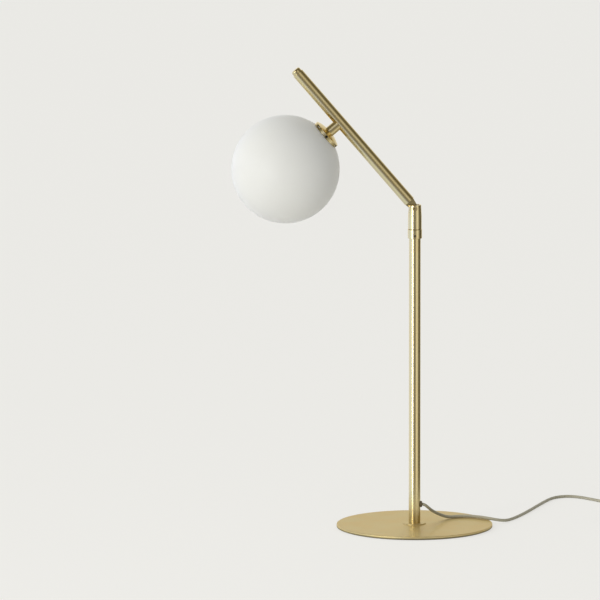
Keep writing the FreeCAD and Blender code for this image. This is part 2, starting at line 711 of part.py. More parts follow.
# The stem is in the globe's frame. Its upper end is a saddle that fits round the arm tube.
stem_tube = turned("stem_tube", [
    ("stem_bore / 2", "cap_apex"),
    ("stem_dia / 2", "cap_apex"),
    ("stem_dia / 2", "globe_drop"),
    ("stem_bore / 2", "globe_drop"),
])
doc.recompute()
add_pocket(stem_tube, "YZ_Plane", "0", "stem_dia * 2", circles=[("0", "globe_drop", "arm_r")])
place_at_globe(stem_tube)

# ---------------------------------------------------------------- globe holder, in the globe's frame

WINDOW_TURN = 216  # degrees round the cap, from the knuckle side
LUG_TURN = 246  # degrees round the neck, a lug's way past its window


def radial_box(near, far, width, angle):
    """A rectangle that points out from the centre at an angle."""
    corners = []
    for reach, side in ((near, 1), (far, 1), (far, -1), (near, -1)):
        half = "%d * (%s) / 2" % (side, width)
        corners.append(("(%s) * cos(%d) + %s * sin(%d)" % (reach, angle, half, angle),
                        "(%s) * sin(%d) - %s * cos(%d)" % (reach, angle, half, angle)))
    return corners


# The cap is a shallow turned dome with an upright rim that ends just clear of the glass.
globe_cap = turned("globe_cap", [
    ("nipple_dia / 2", "cap_roof"),
    ("cap_in_r", "cap_roof"),
    ("cap_in_r", "cap_low"),
    ("cap_dia / 2", "cap_skirt"),
    ("cap_dia / 2", "cap_edge"),
    ("stem_dia / 2", "cap_apex"),
    ("nipple_dia / 2", "cap_apex"),
], {4: (("0", "cap_edge - (cap_dia / 2) ^ 2 / (2 * cap_rise) + cap_rise / 2 + stem_dia ^ 2 / (8 * cap_rise)"),
        "x", "left")})
doc.recompute()
# Three windows in the rim, through which the globe's lugs are turned home.
window = add_pocket(globe_cap, "XY_Plane", "(cap_low + cap_edge) / 2", "cap_window_up",
                    radial_box("cap_in_r - cap_wall", "cap_dia", "cap_window", WINDOW_TURN))
repeat_round(globe_cap, window, 3, "Z_Axis")
doc.recompute()
add_pocket(globe_cap, "XZ_Plane", "cap_dia / 2", "cap_wall * 5",
           circles=[("0", "(cap_low + cap_edge) / 2", "grub_dia / 2")])
place_at_globe(globe_cap)

cap_grub = grub_screw("cap_lock_screw", "cap_dia / 2 - neck_r - slide_gap * 4")
place_on_arm(cap_grub, "stem_along", "globe_drop - (cap_low + cap_edge) / 2", "90 - lean")
bind(cap_grub, "Placement.Base.y", "-cap_dia / 2 + slide_gap")

cap_nipple = ring("cap_nipple", "nipple_bore / 2", "nipple_dia / 2", "nut_low", "cap_apex + nipple_up")
place_at_globe(cap_nipple)

nipple_nut = new_body("nipple_nut")
add_pad(nipple_nut, "XY_Plane", "nut_low + nut_thick / 2", "nut_thick", hexagon("nut_flats"))
doc.recompute()
add_pocket(nipple_nut, "XY_Plane", "nut_low", "nut_thick * 3", circles=[("0", "0", "nipple_dia / 2")])
place_at_globe(nipple_nut)

globe_gasket = ring("globe_gasket", "neck_in_r", "neck_r", "neck_top", "cap_roof")
place_at_globe(globe_gasket)

# The globe is a blown shell with a short neck; three lugs on the neck hook under the cap's rim.
opal_globe = turned("opal_globe", [
    ("0", "-globe_r"),
    ("neck_r", "sqrt(globe_r ^ 2 - neck_r ^ 2)"),
    ("neck_r", "neck_top"),
    ("neck_in_r", "neck_top"),
    ("neck_in_r", "sqrt(glass_in_r ^ 2 - neck_in_r ^ 2)"),
    ("0", "-glass_in_r"),
], {0: (("0", "0"), "x", "left"), 4: (("0", "0"), "x", "right")})
doc.recompute()
lug = add_pad(opal_globe, "XY_Plane", "neck_top - lug_thick / 2", "lug_thick",
              radial_box("(neck_r + neck_in_r) / 2", "neck_r + lug_out", "lug_width", LUG_TURN))
doc.recompute()
repeat_round(opal_globe, lug, 3, "Z_Axis")
place_at_globe(opal_globe)

# The lampholder hangs on the nipple's nut; its lower face has two pin sockets.
lampholder = turned("lampholder", [
    ("0", "holder_low"),
    ("holder_dia / 2 - edge_round", "holder_low"),
    ("holder_dia / 2", "holder_low + edge_round"),
    ("holder_dia / 2", "holder_top - holder_len / 3"),
    ("nut_flats / 2", "holder_top"),
    ("arm_lead_dia / 2 + slide_gap", "holder_top"),
    ("arm_lead_dia / 2 + slide_gap", "holder_top - holder_len / 4"),
    ("0", "holder_top - holder_len / 4"),
])
doc.recompute()
add_pocket(lampholder, "XY_Plane", "holder_low", "holder_socket * 2", circles=[
    ("bulb_pin_gap / 2", "0", "bulb_pin_dia / 2 + run_fit"),
    ("-bulb_pin_gap / 2", "0", "bulb_pin_dia / 2 + run_fit"),
])
place_at_globe(lampholder)

# The bulb: a narrow base that widens to a round-ended tube.
bulb_body = turned("bulb_body", [
    ("0", "bulb_top - bulb_len"),
    ("bulb_dia / 2", "bulb_top - bulb_len + bulb_dia / 2"),
    ("bulb_dia / 2", "bulb_top - bulb_len / 4"),
    ("bulb_dia / 2 - bulb_step", "bulb_top - bulb_len / 4 + bulb_step"),
    ("bulb_dia / 2 - bulb_step", "bulb_top"),
    ("0", "bulb_top"),
], {0: (("0", "bulb_top - bulb_len + bulb_dia / 2"), "x", "left")})
place_at_globe(bulb_body)

bulb_pins = new_body("bulb_pins")
pins_sketch = new_sketch(bulb_pins, "XY_Plane", "bulb_top")
for way in ("", "-"):
    draw_circle(pins_sketch, way + "bulb_pin_gap / 2", "0", "bulb_pin_dia / 2")
pins_pad = bulb_pins.newObject("PartDesign::Pad", "bulb_pins_pad")
pins_pad.Profile = pins_sketch
bind(pins_pad, "Length", "holder_socket")
place_at_globe(bulb_pins)

# The wires run up the arm, turn into the stem and end in the lampholder.
turn_r = size("arm_bore_r") - size("arm_lead_dia") / 4
along = size("stem_along")
lean = math.radians(size("lean"))
arm_way = Vector(-math.sin(lean), 0, math.cos(lean))
out_way = Vector(-math.cos(lean), 0, -math.sin(lean))
pivot = Vector(0, 0, size("pivot_z"))


def arm_point(up_arm, out):
    """A point in the arm's plane."""
    return pivot + arm_way * up_arm + out_way * out


bend_start = arm_point(along - turn_r, 0)
bend_stop = arm_point(along, turn_r)
bend_mid = arm_point(along - turn_r, turn_r) + (arm_way - out_way) * (turn_r / math.sqrt(2))
wire_edges = [
    Part.LineSegment(arm_point(size("arm_start + spigot_len + slide_gap"), 0), bend_start).toShape(),
    Part.Arc(bend_start, bend_mid, bend_stop).toShape(),
    Part.LineSegment(bend_stop, arm_point(along, size("globe_drop - holder_top + holder_len / 4"))).toShape(),
]
add_shape("arm_lead", pipe_solid(wire_edges, size("arm_lead_dia / 2")))

# ---------------------------------------------------------------- cord

# The route of the free cord, from the bushing to the switch. It lies on the plate, then on the floor.
plate_z = size("base_top + cord_r") + 0.05
floor_z = size("cord_r") + 0.05
switch_x = 240.0
switch_y = 45.0
switch_back = switch_y + size("switch_len") / 2
switch_front = switch_y - size("switch_len") / 2
switch_z = size("switch_bore_up")
FREE_ROUTE = [
    (size("gland_face"), 0.0, size("gland_z")),
    (11.6, 0.5, size("gland_z") - 0.9),
    (14.9, 3.4, size("gland_z") - 4.3),
    (19.2, 8.6, 17.2),
    (24.4, 15.6, 13.1),
    (30.2, 23.2, 9.2),
    (37.6, 30.4, plate_z + 0.2),
    (47.2, 36.4, plate_z),
    (57.6, 38.4, plate_z + 0.1),
    (67.4, 35.0, plate_z + 0.2),
    (76.0, 28.0, plate_z + 0.4),
    (84.8, 21.6, plate_z),
    (93.8, 20.9, 4.0),
    (101.8, 27.6, 2.4),
    (108.2, 40.2, floor_z + 0.1),
    (115.4, 57.0, floor_z),
    (125.2, 84.4, floor_z),
    (137.0, 122.9, floor_z),
    (147.6, 156.8, floor_z),
    (154.6, 175.0, floor_z),
    (163.4, 186.0, floor_z),
    (175.2, 189.0, floor_z),
    (187.2, 182.4, floor_z),
    (200.8, 167.2, floor_z),
    (215.4, 150.2, floor_z),
    (228.4, 130.6, floor_z + 0.1),
    (236.4, 110.4, floor_z + 1.4),
    (switch_x, switch_back + 18.0, switch_z - 0.6),
    (switch_x, switch_back, switch_z),
]
add_shape("cord_free", pipe_solid(bent_edges(FREE_ROUTE, "cord_free"), size("cord_r")))

# The coil: two layers of half turns, the lower one winding in and the upper one winding out again.
coil_pitch = size("coil_pitch")
coil_half_turns = 9
coil_outer = size("coil_mean_dia / 2") + coil_pitch * (coil_half_turns - 1) / 4
coil_x = switch_x + 1.5 + coil_outer
coil_y = -45.0
coil_tail = size("cord_dia")


def arc_from(start, tangent, stop):
    """The arc that leaves start along tangent and ends at stop, and its tangent there."""
    chord = stop - start
    unit = Vector(tangent).normalize()
    across = chord - unit * chord.dot(unit)
    side = Vector(across).normalize()
    radius = chord.dot(chord) / (2 * chord.dot(side))
    centre = start + side * radius
    sweep = math.atan2(chord.dot(unit) / radius, 1 - chord.dot(side) / radius)
    middle = centre - side * (radius * math.cos(sweep / 2)) + unit * (radius * math.sin(sweep / 2))
    leaving = side * math.sin(sweep) + unit * math.cos(sweep)
    return Part.Arc(start, middle, stop).toShape(), leaving


def half_turn(start, way, radius):
    """A level half turn in two quarter arcs; way is 1 when it starts along +Y, -1 along -Y."""
    tangent = Vector(0, way, 0)
    top = start + Vector(-way * radius, way * radius, 0)
    stop = start + Vector(-way * 2 * radius, 0, 0)
    first, turned_to = arc_from(start, tangent, top)
    second_arc, leaving = arc_from(top, turned_to, stop)
    return [first, second_arc], stop


def climbing_half_turn(start, way, radius, climb):
    """A half turn that climbs: two arcs in space that meet half way up."""
    reach = math.sqrt(radius ** 2 + climb ** 2 / 4)
    tangent = Vector(0, way, 0)
    joint = start + Vector(-way * radius, way * reach, climb / 2)
    stop = start + Vector(-way * 2 * radius, 0, climb)
    first, turned_to = arc_from(start, tangent, joint)
    second_arc, leaving = arc_from(joint, turned_to, stop)
    return [first, second_arc], stop


coil_start = Vector(coil_x - coil_outer, coil_y, floor_z)
coil_edges = [Part.LineSegment(coil_start + Vector(0, coil_tail, 0), coil_start).toShape()]
spot = coil_start
heading = -1
radii = [coil_outer - coil_pitch / 2 * number for number in range(coil_half_turns)]
for radius in radii:
    arcs, spot = half_turn(spot, heading, radius)
    coil_edges += arcs
    heading = -heading
arcs, spot = climbing_half_turn(spot, heading, radii[-1] - coil_pitch / 2, coil_pitch)
coil_edges += arcs
heading = -heading
for radius in reversed(radii):
    arcs, spot = half_turn(spot, heading, radius)
    coil_edges += arcs
    heading = -heading
coil_stop = spot + Vector(0, heading * coil_tail, 0)
coil_edges.append(Part.LineSegment(spot, coil_stop).toShape())
cord_coil = add_shape("cord_coil", pipe_solid(coil_edges, size("cord_r")))

# The least gap between turns, measured on points along the path and printed.
coil_points = []
for edge in coil_edges:
    steps = max(2, int(edge.Length / 2))
    first_parameter, last_parameter = edge.ParameterRange
    for step in range(steps):
        part_way = first_parameter + (last_parameter - first_parameter) * step / steps
        coil_points.append((len(coil_points), edge.valueAt(part_way)))
skip = int(size("cord_dia") * 3)
least = min((one[1] - other[1]).Length for one in coil_points for other in coil_points[one[0] + skip:])
print("coil length %.1f, least gap between turns %.2f" % (Part.Wire(coil_edges).Length, least - size("cord_dia")))

# From the switch the cord comes down to the floor and into the coil.
LINK_ROUTE = [
    (switch_x, switch_front, switch_z),
    (switch_x, switch_front - 9.0, switch_z - 0.4),
    (switch_x + 0.4, switch_front - 21.0, 4.4),
    (switch_x + 1.2, switch_front - 34.0, floor_z + 0.4),
    (coil_start.x, coil_start.y + coil_tail + 10.0, floor_z),
    (coil_start.x, coil_start.y + coil_tail, floor_z),
]
add_shape("cord_link", pipe_solid(bent_edges(LINK_ROUTE, "cord_link"), size("cord_r")))

# ---------------------------------------------------------------- cord switch, in its own frame


def place_switch(item, up="0"):
    """The switch lies along Y on the floor beside the lamp."""
    item.Placement = FreeCAD.Placement(Vector(switch_x, switch_y, 0), FreeCAD.Rotation())
    bind(item, "Placement.Base.z", up)


def switch_outline(inset):
    """A rectangle with bowed ends, drawn on the floor."""
    half_w = "(switch_width / 2 - %s)" % inset
    half_l = "(switch_len / 2 - %s)" % inset
    bow = "(switch_width / 8)"
    corners = [
        ("-" + half_w, "-%s + %s" % (half_l, bow)),
        ("-" + half_w + " / 3", "-" + half_l),
        (half_w + " / 3", "-" + half_l),
        (half_w, "-%s + %s" % (half_l, bow)),
        (half_w, "%s - %s" % (half_l, bow)),
        (half_w + " / 3", half_l),
        ("-" + half_w + " / 3", half_l),
        ("-" + half_w, "%s - %s" % (half_l, bow)),
    ]
    return corners


def add_cylinders(body, dia, spots, low, high):
    """Add upright cylinders between two heights."""
    sketch = new_sketch(body, "XY_Plane", "(%s + %s) / 2" % (low, high))
    for across, along_y in spots:
        draw_circle(sketch, across, along_y, "(%s) / 2" % dia)
    pad = body.newObject("PartDesign::Pad", body.Name + "_posts")
    pad.Profile = sketch
    pad.Midplane = True
    bind(pad, "Length", "%s - %s" % (high, low))
    doc.recompute()


SCREW_SPOTS = [("0", "switch_screw_gap / 2"), ("0", "-switch_screw_gap / 2")]
SCREW_HOLES = [spot + ("grub_dia / 2",) for spot in SCREW_SPOTS]
CORD_WAY = [("0", "switch_bore_up", "cord_r + run_fit")]

# The lower shell: a cup with a cord way at each end and two screw holes in its floor.
switch_base = new_body("switch_base")
add_pad(switch_base, "XY_Plane", "switch_low / 2", "switch_low", switch_outline("0"))
doc.recompute()
add_pocket(switch_base, "XY_Plane", "switch_wall + switch_low", "2 * switch_low", switch_outline("switch_wall"))
add_pocket(switch_base, "XZ_Plane", "0", "switch_len * 2", circles=CORD_WAY)
add_pocket(switch_base, "XY_Plane", "0", "switch_wall * 3", circles=SCREW_HOLES)
place_switch(switch_base)

# The upper shell: rounded top, window for the rocker, cheeks that hold its pins, posts for the screws.
switch_cover = new_body("switch_cover")
add_pad(switch_cover, "XY_Plane", "switch_low + switch_high / 2", "switch_high", switch_outline("0"))
doc.recompute()
round_edges(switch_cover, lambda box: box.ZMin > size("switch_top") - 0.01, "switch_round")
add_pocket(switch_cover, "XY_Plane", "switch_low", "2 * (switch_high - switch_wall)", switch_outline("switch_wall"))
cheek_in = "(rocker_width / 2 + slide_gap)"
for way in ("", "-"):
    near = "%s%s" % (way, cheek_in)
    far = "%s(%s + rocker_ear)" % (way, cheek_in)
    left, right = (near, far) if way == "" else (far, near)
    add_pad(switch_cover, "XY_Plane", "switch_roof - rocker_pin * 1.5", "rocker_pin * 3 + 2 * weld",
            box_corners(left, "-rocker_pin * 2", right, "rocker_pin * 2"))
    doc.recompute()
add_cylinders(switch_cover, "grub_dia * 2", SCREW_SPOTS, "switch_wall", "(switch_roof + weld)")
add_pocket(switch_cover, "XY_Plane", "switch_wall", "switch_low", circles=SCREW_HOLES)
add_pocket(switch_cover, "XY_Plane", "switch_top", "switch_high", box_corners(
    "-rocker_width / 2 - slide_gap", "-rocker_len / 2 - slide_gap",
    "rocker_width / 2 + slide_gap", "rocker_len / 2 + slide_gap"))
add_pocket(switch_cover, "YZ_Plane", "0", "rocker_width + 2 * rocker_ear",
           circles=[("0", "rocker_z", "rocker_pin / 2 + run_fit")])
add_pocket(switch_cover, "XZ_Plane", "0", "switch_len * 2", circles=[
    ("0", "switch_bore_up", "cord_r + run_fit")])
place_switch(switch_cover)

# Two screws in one node hold the shells together from below.
switch_screws = new_body("switch_screws")
add_cylinders(switch_screws, "grub_dia", SCREW_SPOTS, "slide_gap", "(switch_wall + switch_low / 2)")
place_switch(switch_screws)

# The rocker: a bar with a hollowed top on two pins, drawn level and tilted to its off position.
switch_rocker = new_body("switch_rocker")
add_pad(switch_rocker, "YZ_Plane", "0", "rocker_width", [
    ("-rocker_len / 3", "-rocker_pin * 1.5"),
    ("rocker_len / 3", "-rocker_pin * 1.5"),
    ("rocker_len / 2 - slide_gap * 2", "rocker_face + rocker_horn"),
    ("0", "rocker_face"),
    ("-rocker_len / 2 + slide_gap * 2", "rocker_face + rocker_horn"),
])
doc.recompute()
pin_sketch = new_sketch(switch_rocker, "YZ_Plane")
draw_circle(pin_sketch, "0", "0", "rocker_pin / 2")
pin_pad = switch_rocker.newObject("PartDesign::Pad", "switch_rocker_pins")
pin_pad.Profile = pin_sketch
pin_pad.Midplane = True
bind(pin_pad, "Length", "rocker_width + 2 * rocker_ear - slide_gap")
doc.recompute()
switch_rocker.Placement = FreeCAD.Placement(Vector(switch_x, switch_y, 0), FreeCAD.Rotation(Vector(1, 0, 0), 1))
bind(switch_rocker, "Placement.Base.z", "rocker_z")
bind(switch_rocker, "Placement.Rotation.Angle", "rocker_tilt")

# ---------------------------------------------------------------- plug

plug_z = coil_stop.z
plug_y = coil_stop.y


def place_plug(item):
    """The plug lies along Y at the coil's end."""
    item.Placement = FreeCAD.Placement(Vector(coil_stop.x, plug_y, plug_z), FreeCAD.Rotation())


def plug_section(width, height):
    """An eight-sided section of the plug."""
    half_w = "(%s) / 2" % width
    half_h = "(%s) / 2" % height
    chamfer = "(%s) / 4" % height
    return [
        ("-%s + %s" % (half_w, chamfer), "-" + half_h),
        ("%s - %s" % (half_w, chamfer), "-" + half_h),
        (half_w, "-%s + %s" % (half_h, chamfer)),
        (half_w, "%s - %s" % (half_h, chamfer)),
        ("%s - %s" % (half_w, chamfer), half_h),
        ("-%s + %s" % (half_w, chamfer), half_h),
        ("-" + half_w, "%s - %s" % (half_h, chamfer)),
        ("-" + half_w, "-%s + %s" % (half_h, chamfer)),
    ]


# The body swells from the strain relief to the pin face. Its thickness is twice the height of its axis.
plug_thick = "(2 * (cord_r + 0.05 + coil_pitch))"
plug_body = new_body("plug_body")
sections = []
for lift, width, height in (("plug_boot", "plug_neck", plug_thick + " * 0.8"),
                            ("plug_boot + plug_len / 3", "plug_width * 0.9", plug_thick),
                            ("plug_boot + plug_len", "plug_width", plug_thick)):
    section = new_sketch(plug_body, "XZ_Plane", "-(%s)" % lift)
    draw_outline(section, plug_section(width, height))
    sections.append(section)
loft = plug_body.newObject("PartDesign::AdditiveLoft", "plug_body_loft")
loft.Profile = sections[0]
loft.Sections = sections[1:]
loft.Ruled = True
doc.recompute()
add_turned(plug_body, [
    ("0", "0"),
    ("cord_r + boot_wall", "0"),
    ("cord_r + boot_root", "plug_boot + weld"),
    ("0", "plug_boot + weld"),
], role="XY_Plane")
place_plug(plug_body)

plug_pins = new_body("plug_pins")
pins = new_sketch(plug_pins, "XZ_Plane", "-(plug_boot + plug_len)")
for way in ("", "-"):
    draw_circle(pins, way + "pin_gap / 2", "0", "pin_dia / 2")
plug_pad = plug_pins.newObject("PartDesign::Pad", "plug_pins_pad")
plug_pad.Profile = pins
plug_pad.Reversed = True
bind(plug_pad, "Length", "pin_len")
place_plug(plug_pins)

# ---------------------------------------------------------------- checks and export

doc.recompute()
for item in doc.Objects:
    if "Invalid" in item.State or "Error" in item.State:
        raise SystemExit("failed feature: %s %s" % (item.Name, item.State))
for node in NODES:
    if node.Shape.isNull() or not node.Shape.isValid():
        raise SystemExit("bad shape: " + node.Label)

total_cord = sum(Part.Wire(edges).Length for edges in
                 (bent_edges(FREE_ROUTE, "free"), bent_edges(LINK_ROUTE, "link"), coil_edges))
print("cord with its switch %.0f mm" % (total_cord + size("switch_len")))

os.makedirs("parts", exist_ok=True)
for node in NODES:
    node.Shape.exportStep(os.path.join("parts", node.Label + ".step"))
    corners = node.Shape.BoundBox
    print("%-18s %d solid(s) %9.1f mm3  x %.1f..%.1f y %.1f..%.1f z %.1f..%.1f" % (
        node.Label, len(node.Shape.Solids), node.Shape.Volume, corners.XMin, corners.XMax,
        corners.YMin, corners.YMax, corners.ZMin, corners.ZMax))
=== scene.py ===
"""The looks of a glass globe table lamp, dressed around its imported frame.

Lengths are in metres. The lamp stands at the origin: +Z is up along the post,
-X points to the globe and +Y to the back.
"""

from __future__ import annotations

import logging
import math
from dataclasses import dataclass
from enum import Enum
from typing import Callable, Sequence, Union

import bmesh
import bpy
from mathutils import Matrix, Vector

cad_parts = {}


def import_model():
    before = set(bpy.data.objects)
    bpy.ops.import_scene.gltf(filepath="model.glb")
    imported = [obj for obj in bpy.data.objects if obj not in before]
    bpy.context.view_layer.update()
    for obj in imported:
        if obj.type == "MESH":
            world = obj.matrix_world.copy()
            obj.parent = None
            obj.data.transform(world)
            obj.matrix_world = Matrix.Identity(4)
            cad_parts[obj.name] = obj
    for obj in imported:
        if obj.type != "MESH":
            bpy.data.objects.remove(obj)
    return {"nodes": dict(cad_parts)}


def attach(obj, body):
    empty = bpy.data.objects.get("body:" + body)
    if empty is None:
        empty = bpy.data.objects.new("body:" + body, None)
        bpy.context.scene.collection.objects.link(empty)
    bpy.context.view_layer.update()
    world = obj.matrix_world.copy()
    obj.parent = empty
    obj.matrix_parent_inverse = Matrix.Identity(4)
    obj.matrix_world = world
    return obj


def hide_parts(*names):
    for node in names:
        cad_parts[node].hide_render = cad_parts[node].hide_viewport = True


LOG = logging.getLogger("globe_lamp")
MM = 0.001
Point = tuple[float, float, float]
Ring = tuple[float, float]
Number = Union[float, "Sock"]

# Millimetres: the thinnest pole of a turned piece, the span in which its doubles merge, how near a
# height or face has to be to count, and how far a cutter reaches past a skin and past an edge.
LEAST_RADIUS = 0.0005
WELD = 0.004
NEAR = 0.1
OUTSIDE = 9.0
OVER = 2.0


class Body(Enum):
    """The lamp's moving bodies."""

    STAND = "stand"
    KNUCKLE = "knuckle"
    ARM = "arm"
    ROCKER = "rocker"


class Slot(Enum):
    """The record's material slots."""

    BRASS = "brass_satin"
    OPAL = "opal_glass"
    FELT = "felt"
    STEEL = "steel"
    SEAL = "rubber_seal"
    PORCELAIN = "porcelain"
    BULB = "bulb_glass"
    CORD = "cord_plastic"
    DARK = "dark_plastic"
    BUSH = "bush_plastic"


# ---------------------------------------------------------------- places


@dataclass(frozen=True)
class Places:
    """Places that more than one sub-assembly uses."""

    pivot_up: float = 359.0 * MM
    lean: float = math.radians(40.7)
    stem_along: float = 126.2 * MM
    globe_drop: float = 80.412 * MM

    @property
    def arm_way(self) -> Vector:
        """The way up the arm."""
        return Vector((-math.sin(self.lean), 0.0, math.cos(self.lean)))

    @property
    def out_way(self) -> Vector:
        """The way from the arm to the globe."""
        return Vector((-math.cos(self.lean), 0.0, -math.sin(self.lean)))

    @property
    def pivot(self) -> Vector:
        """The pivot's centre."""
        return Vector((0.0, 0.0, self.pivot_up))

    @property
    def globe(self) -> Vector:
        """The globe's centre."""
        return self.pivot + self.arm_way * self.stem_along + self.out_way * self.globe_drop

    @property
    def arm_frame(self) -> Matrix:
        """Pivot frame, its +Z up the arm."""
        return Matrix.Translation(self.pivot) @ Matrix.Rotation(-self.lean, 4, "Y")

    @property
    def globe_frame(self) -> Matrix:
        """Globe frame, its +Z back to the arm."""
        return Matrix.Translation(self.globe) @ Matrix.Rotation(math.pi / 2 - self.lean, 4, "Y")


PLACES = Places()


# ---------------------------------------------------------------- shader arithmetic


def operator(operation: str, reflected: bool = False) -> Callable[["Sock", Number], "Sock"]:
    """A method of Sock that adds one Math node.

    Args:
        operation: the node's operation.
        reflected: whether the other operand comes first.

    Returns:
        The method.
    """
    def method(self: "Sock", other: Number) -> "Sock":
        """Work the operation out on both operands."""
        inputs = (other, self) if reflected else (self, other)
        return self.paint.node("ShaderNodeMath", dict(enumerate(inputs)), operation=operation)

    return method


@dataclass(frozen=True)
class Sock:
    """A shader socket that takes part in Python arithmetic."""

    paint: "Paint"
    socket: bpy.types.NodeSocket

    __add__ = __radd__ = operator("ADD")
    __sub__, __rsub__ = operator("SUBTRACT"), operator("SUBTRACT", reflected=True)
    __mul__ = __rmul__ = operator("MULTIPLY")
    __truediv__, __rtruediv__ = operator("DIVIDE"), operator("DIVIDE", reflected=True)
    __pow__, __rpow__ = operator("POWER"), operator("POWER", reflected=True)
    atan2 = operator("ARCTAN2")

    def __neg__(self) -> "Sock":
        """Change the sign."""
        return self * -1.0

    def above(self, edge: float, soft: float) -> "Sock":
        """0 below an edge and 1 above it, with a smooth step of a width."""
        inputs = {0: self, 1: edge - soft / 2, 2: edge + soft / 2, 3: 0.0, 4: 1.0}
        return self.paint.node("ShaderNodeMapRange", inputs, interpolation_type="SMOOTHSTEP")

    def spread(self, low: float, high: float) -> "Sock":
        """Map 0..1 to a range."""
        return self * (high - low) + low


class Paint:
    """A material or world under construction."""

    def __init__(self, tree: bpy.types.NodeTree) -> None:
        """Start on an empty node tree."""
        self.tree = tree
        self.tree.nodes.clear()

    def node(self, kind: str, inputs: dict | None = None, out: Union[int, str] = 0,
             **settings: object) -> Sock:
        """Add a node; the only place where nodes are made.

        Args:
            kind: the node's type name.
            inputs: values or sockets by input index or name.
            out: the output that is returned.
            settings: node properties, or a ramp's stops; they are set before the inputs.

        Returns:
            The chosen output.
        """
        made = self.tree.nodes.new(kind)
        for name, value in settings.items():
            if name == "stops":
                self._fill_ramp(made.color_ramp, value)
            else:
                setattr(made, name, value)
        for key, value in (inputs or {}).items():
            if isinstance(value, Sock):
                self.tree.links.new(value.socket, made.inputs[key])
            else:
                made.inputs[key].default_value = value
        if not made.outputs:
            return Sock(self, made.inputs[0])
        return Sock(self, made.outputs[out])

    @staticmethod
    def _fill_ramp(band: bpy.types.ColorRamp, stops: Sequence[tuple[float, Point]]) -> None:
        """Give a colour ramp its stops, blended smoothly."""
        band.interpolation = "B_SPLINE"
        while len(band.elements) > 1:
            band.elements.remove(band.elements[-1])
        for index, (position, colour) in enumerate(stops):
            stop = band.elements[0] if index == 0 else band.elements.new(position)
            stop.position = position
            stop.color = rgba(colour)

    def place(self, source: str = "Object") -> Sock:
        """The point that is shaded."""
        return self.node("ShaderNodeTexCoord", out=source)

    def ray(self, kind: str) -> Sock:
        """Whether the ray is of a kind."""
        return self.node("ShaderNodeLightPath", out=kind)

    def mapped(self, frame: Matrix | None = None, scale: Point = (1.0, 1.0, 1.0)) -> Sock:
        """The shaded point seen in a sub-assembly's own frame.

        Args:
            frame: the frame's placement.
            scale: stretch along the frame's axes.

        Returns:
            The vector.
        """
        inverse = (frame or Matrix.Identity(4)).inverted()
        turned = self.node("ShaderNodeMapping", {
            "Vector": self.place(), "Location": tuple(inverse.to_translation()),
            "Rotation": tuple(inverse.to_euler()),
        }, vector_type="POINT")
        return self.node("ShaderNodeMapping", {"Vector": turned, "Scale": scale}, vector_type="POINT")

    def noise(self, at: Sock, scale: float, detail: float = 3.0, rough: float = 0.5) -> Sock:
        """Fractal noise around 0.5; its scale is in features per metre."""
        return self.node("ShaderNodeTexNoise", {
            "Vector": at, "Scale": scale, "Detail": detail, "Roughness": rough,
        })

    def split(self, vector: Sock) -> tuple[Sock, Sock, Sock]:
        """The three numbers of a vector."""
        parts = self.node("ShaderNodeSeparateXYZ", {0: vector}).socket.node.outputs
        return tuple(Sock(self, part) for part in parts)

    def mix(self, factor: Number, first: object, second: object) -> Sock:
        """Mix two colours, which may be sockets; factor 0 gives the first."""
        inputs = {0: factor, 6: rgba(first), 7: rgba(second)}
        return self.node("ShaderNodeMix", inputs, out=2, data_type="RGBA")

    def mix_shader(self, factor: Number, first: Sock, second: Sock) -> Sock:
        """Mix two shaders."""
        return self.node("ShaderNodeMixShader", {0: factor, 1: first, 2: second})

    def bump(self, height: Sock, depth: float, strength: float) -> Sock:
        """A normal bumped by a height from 0 to 1 times a depth in metres."""
        return self.node("ShaderNodeBump", {"Height": height, "Distance": depth, "Strength": strength})

    def ramp(self, factor: Sock, stops: Sequence[tuple[float, Point]]) -> Sock:
        """A colour ramp, each stop a position and a colour."""
        return self.node("ShaderNodeValToRGB", {0: factor}, stops=stops)

    def skin(self, tone: Sock, rough: Number, normal: Sock, others: dict | None = None) -> Sock:
        """A Principled surface: its colour, roughness, bumped normal and other inputs."""
        return self.node("ShaderNodeBsdfPrincipled", {
            "Base Color": tone, "Roughness": rough, "Normal": normal, **(others or {}),
        })

    def surface(self, shader: Sock, kind: str = "ShaderNodeOutputMaterial") -> None:
        """Link a shader to the output."""
        self.node(kind, {"Surface": shader})


def rgba(colour: object) -> object:
    """A colour with its alpha; sockets pass through."""
    if isinstance(colour, Sock) or len(colour) == 4:
        return colour
    return (*colour, 1.0)


# ---------------------------------------------------------------- finishes


def shaded(colour: Point, *shares: float) -> Point:
    """A colour times one factor, or times a factor for each channel."""
    factors = shares * 3 if len(shares) == 1 else shares
    return tuple(channel * factor for channel, factor in zip(colour, factors))


@dataclass(frozen=True)
class Finish:
    """A surface finish; each kind fills in its own nodes."""

    name: str
    slot: Slot

    def made(self) -> bpy.types.Material:
        """The finish's material, built once."""
        known = bpy.data.materials.get(self.name)
        if known is not None:
            return known
        material = bpy.data.materials.new(self.name)
        material.use_nodes = True
        paint = Paint(material.node_tree)
        paint.surface(self.shader(paint))
        return material

    def shader(self, paint: Paint) -> Sock:
        """The finish's shader, filled in by each kind."""
        raise NotImplementedError


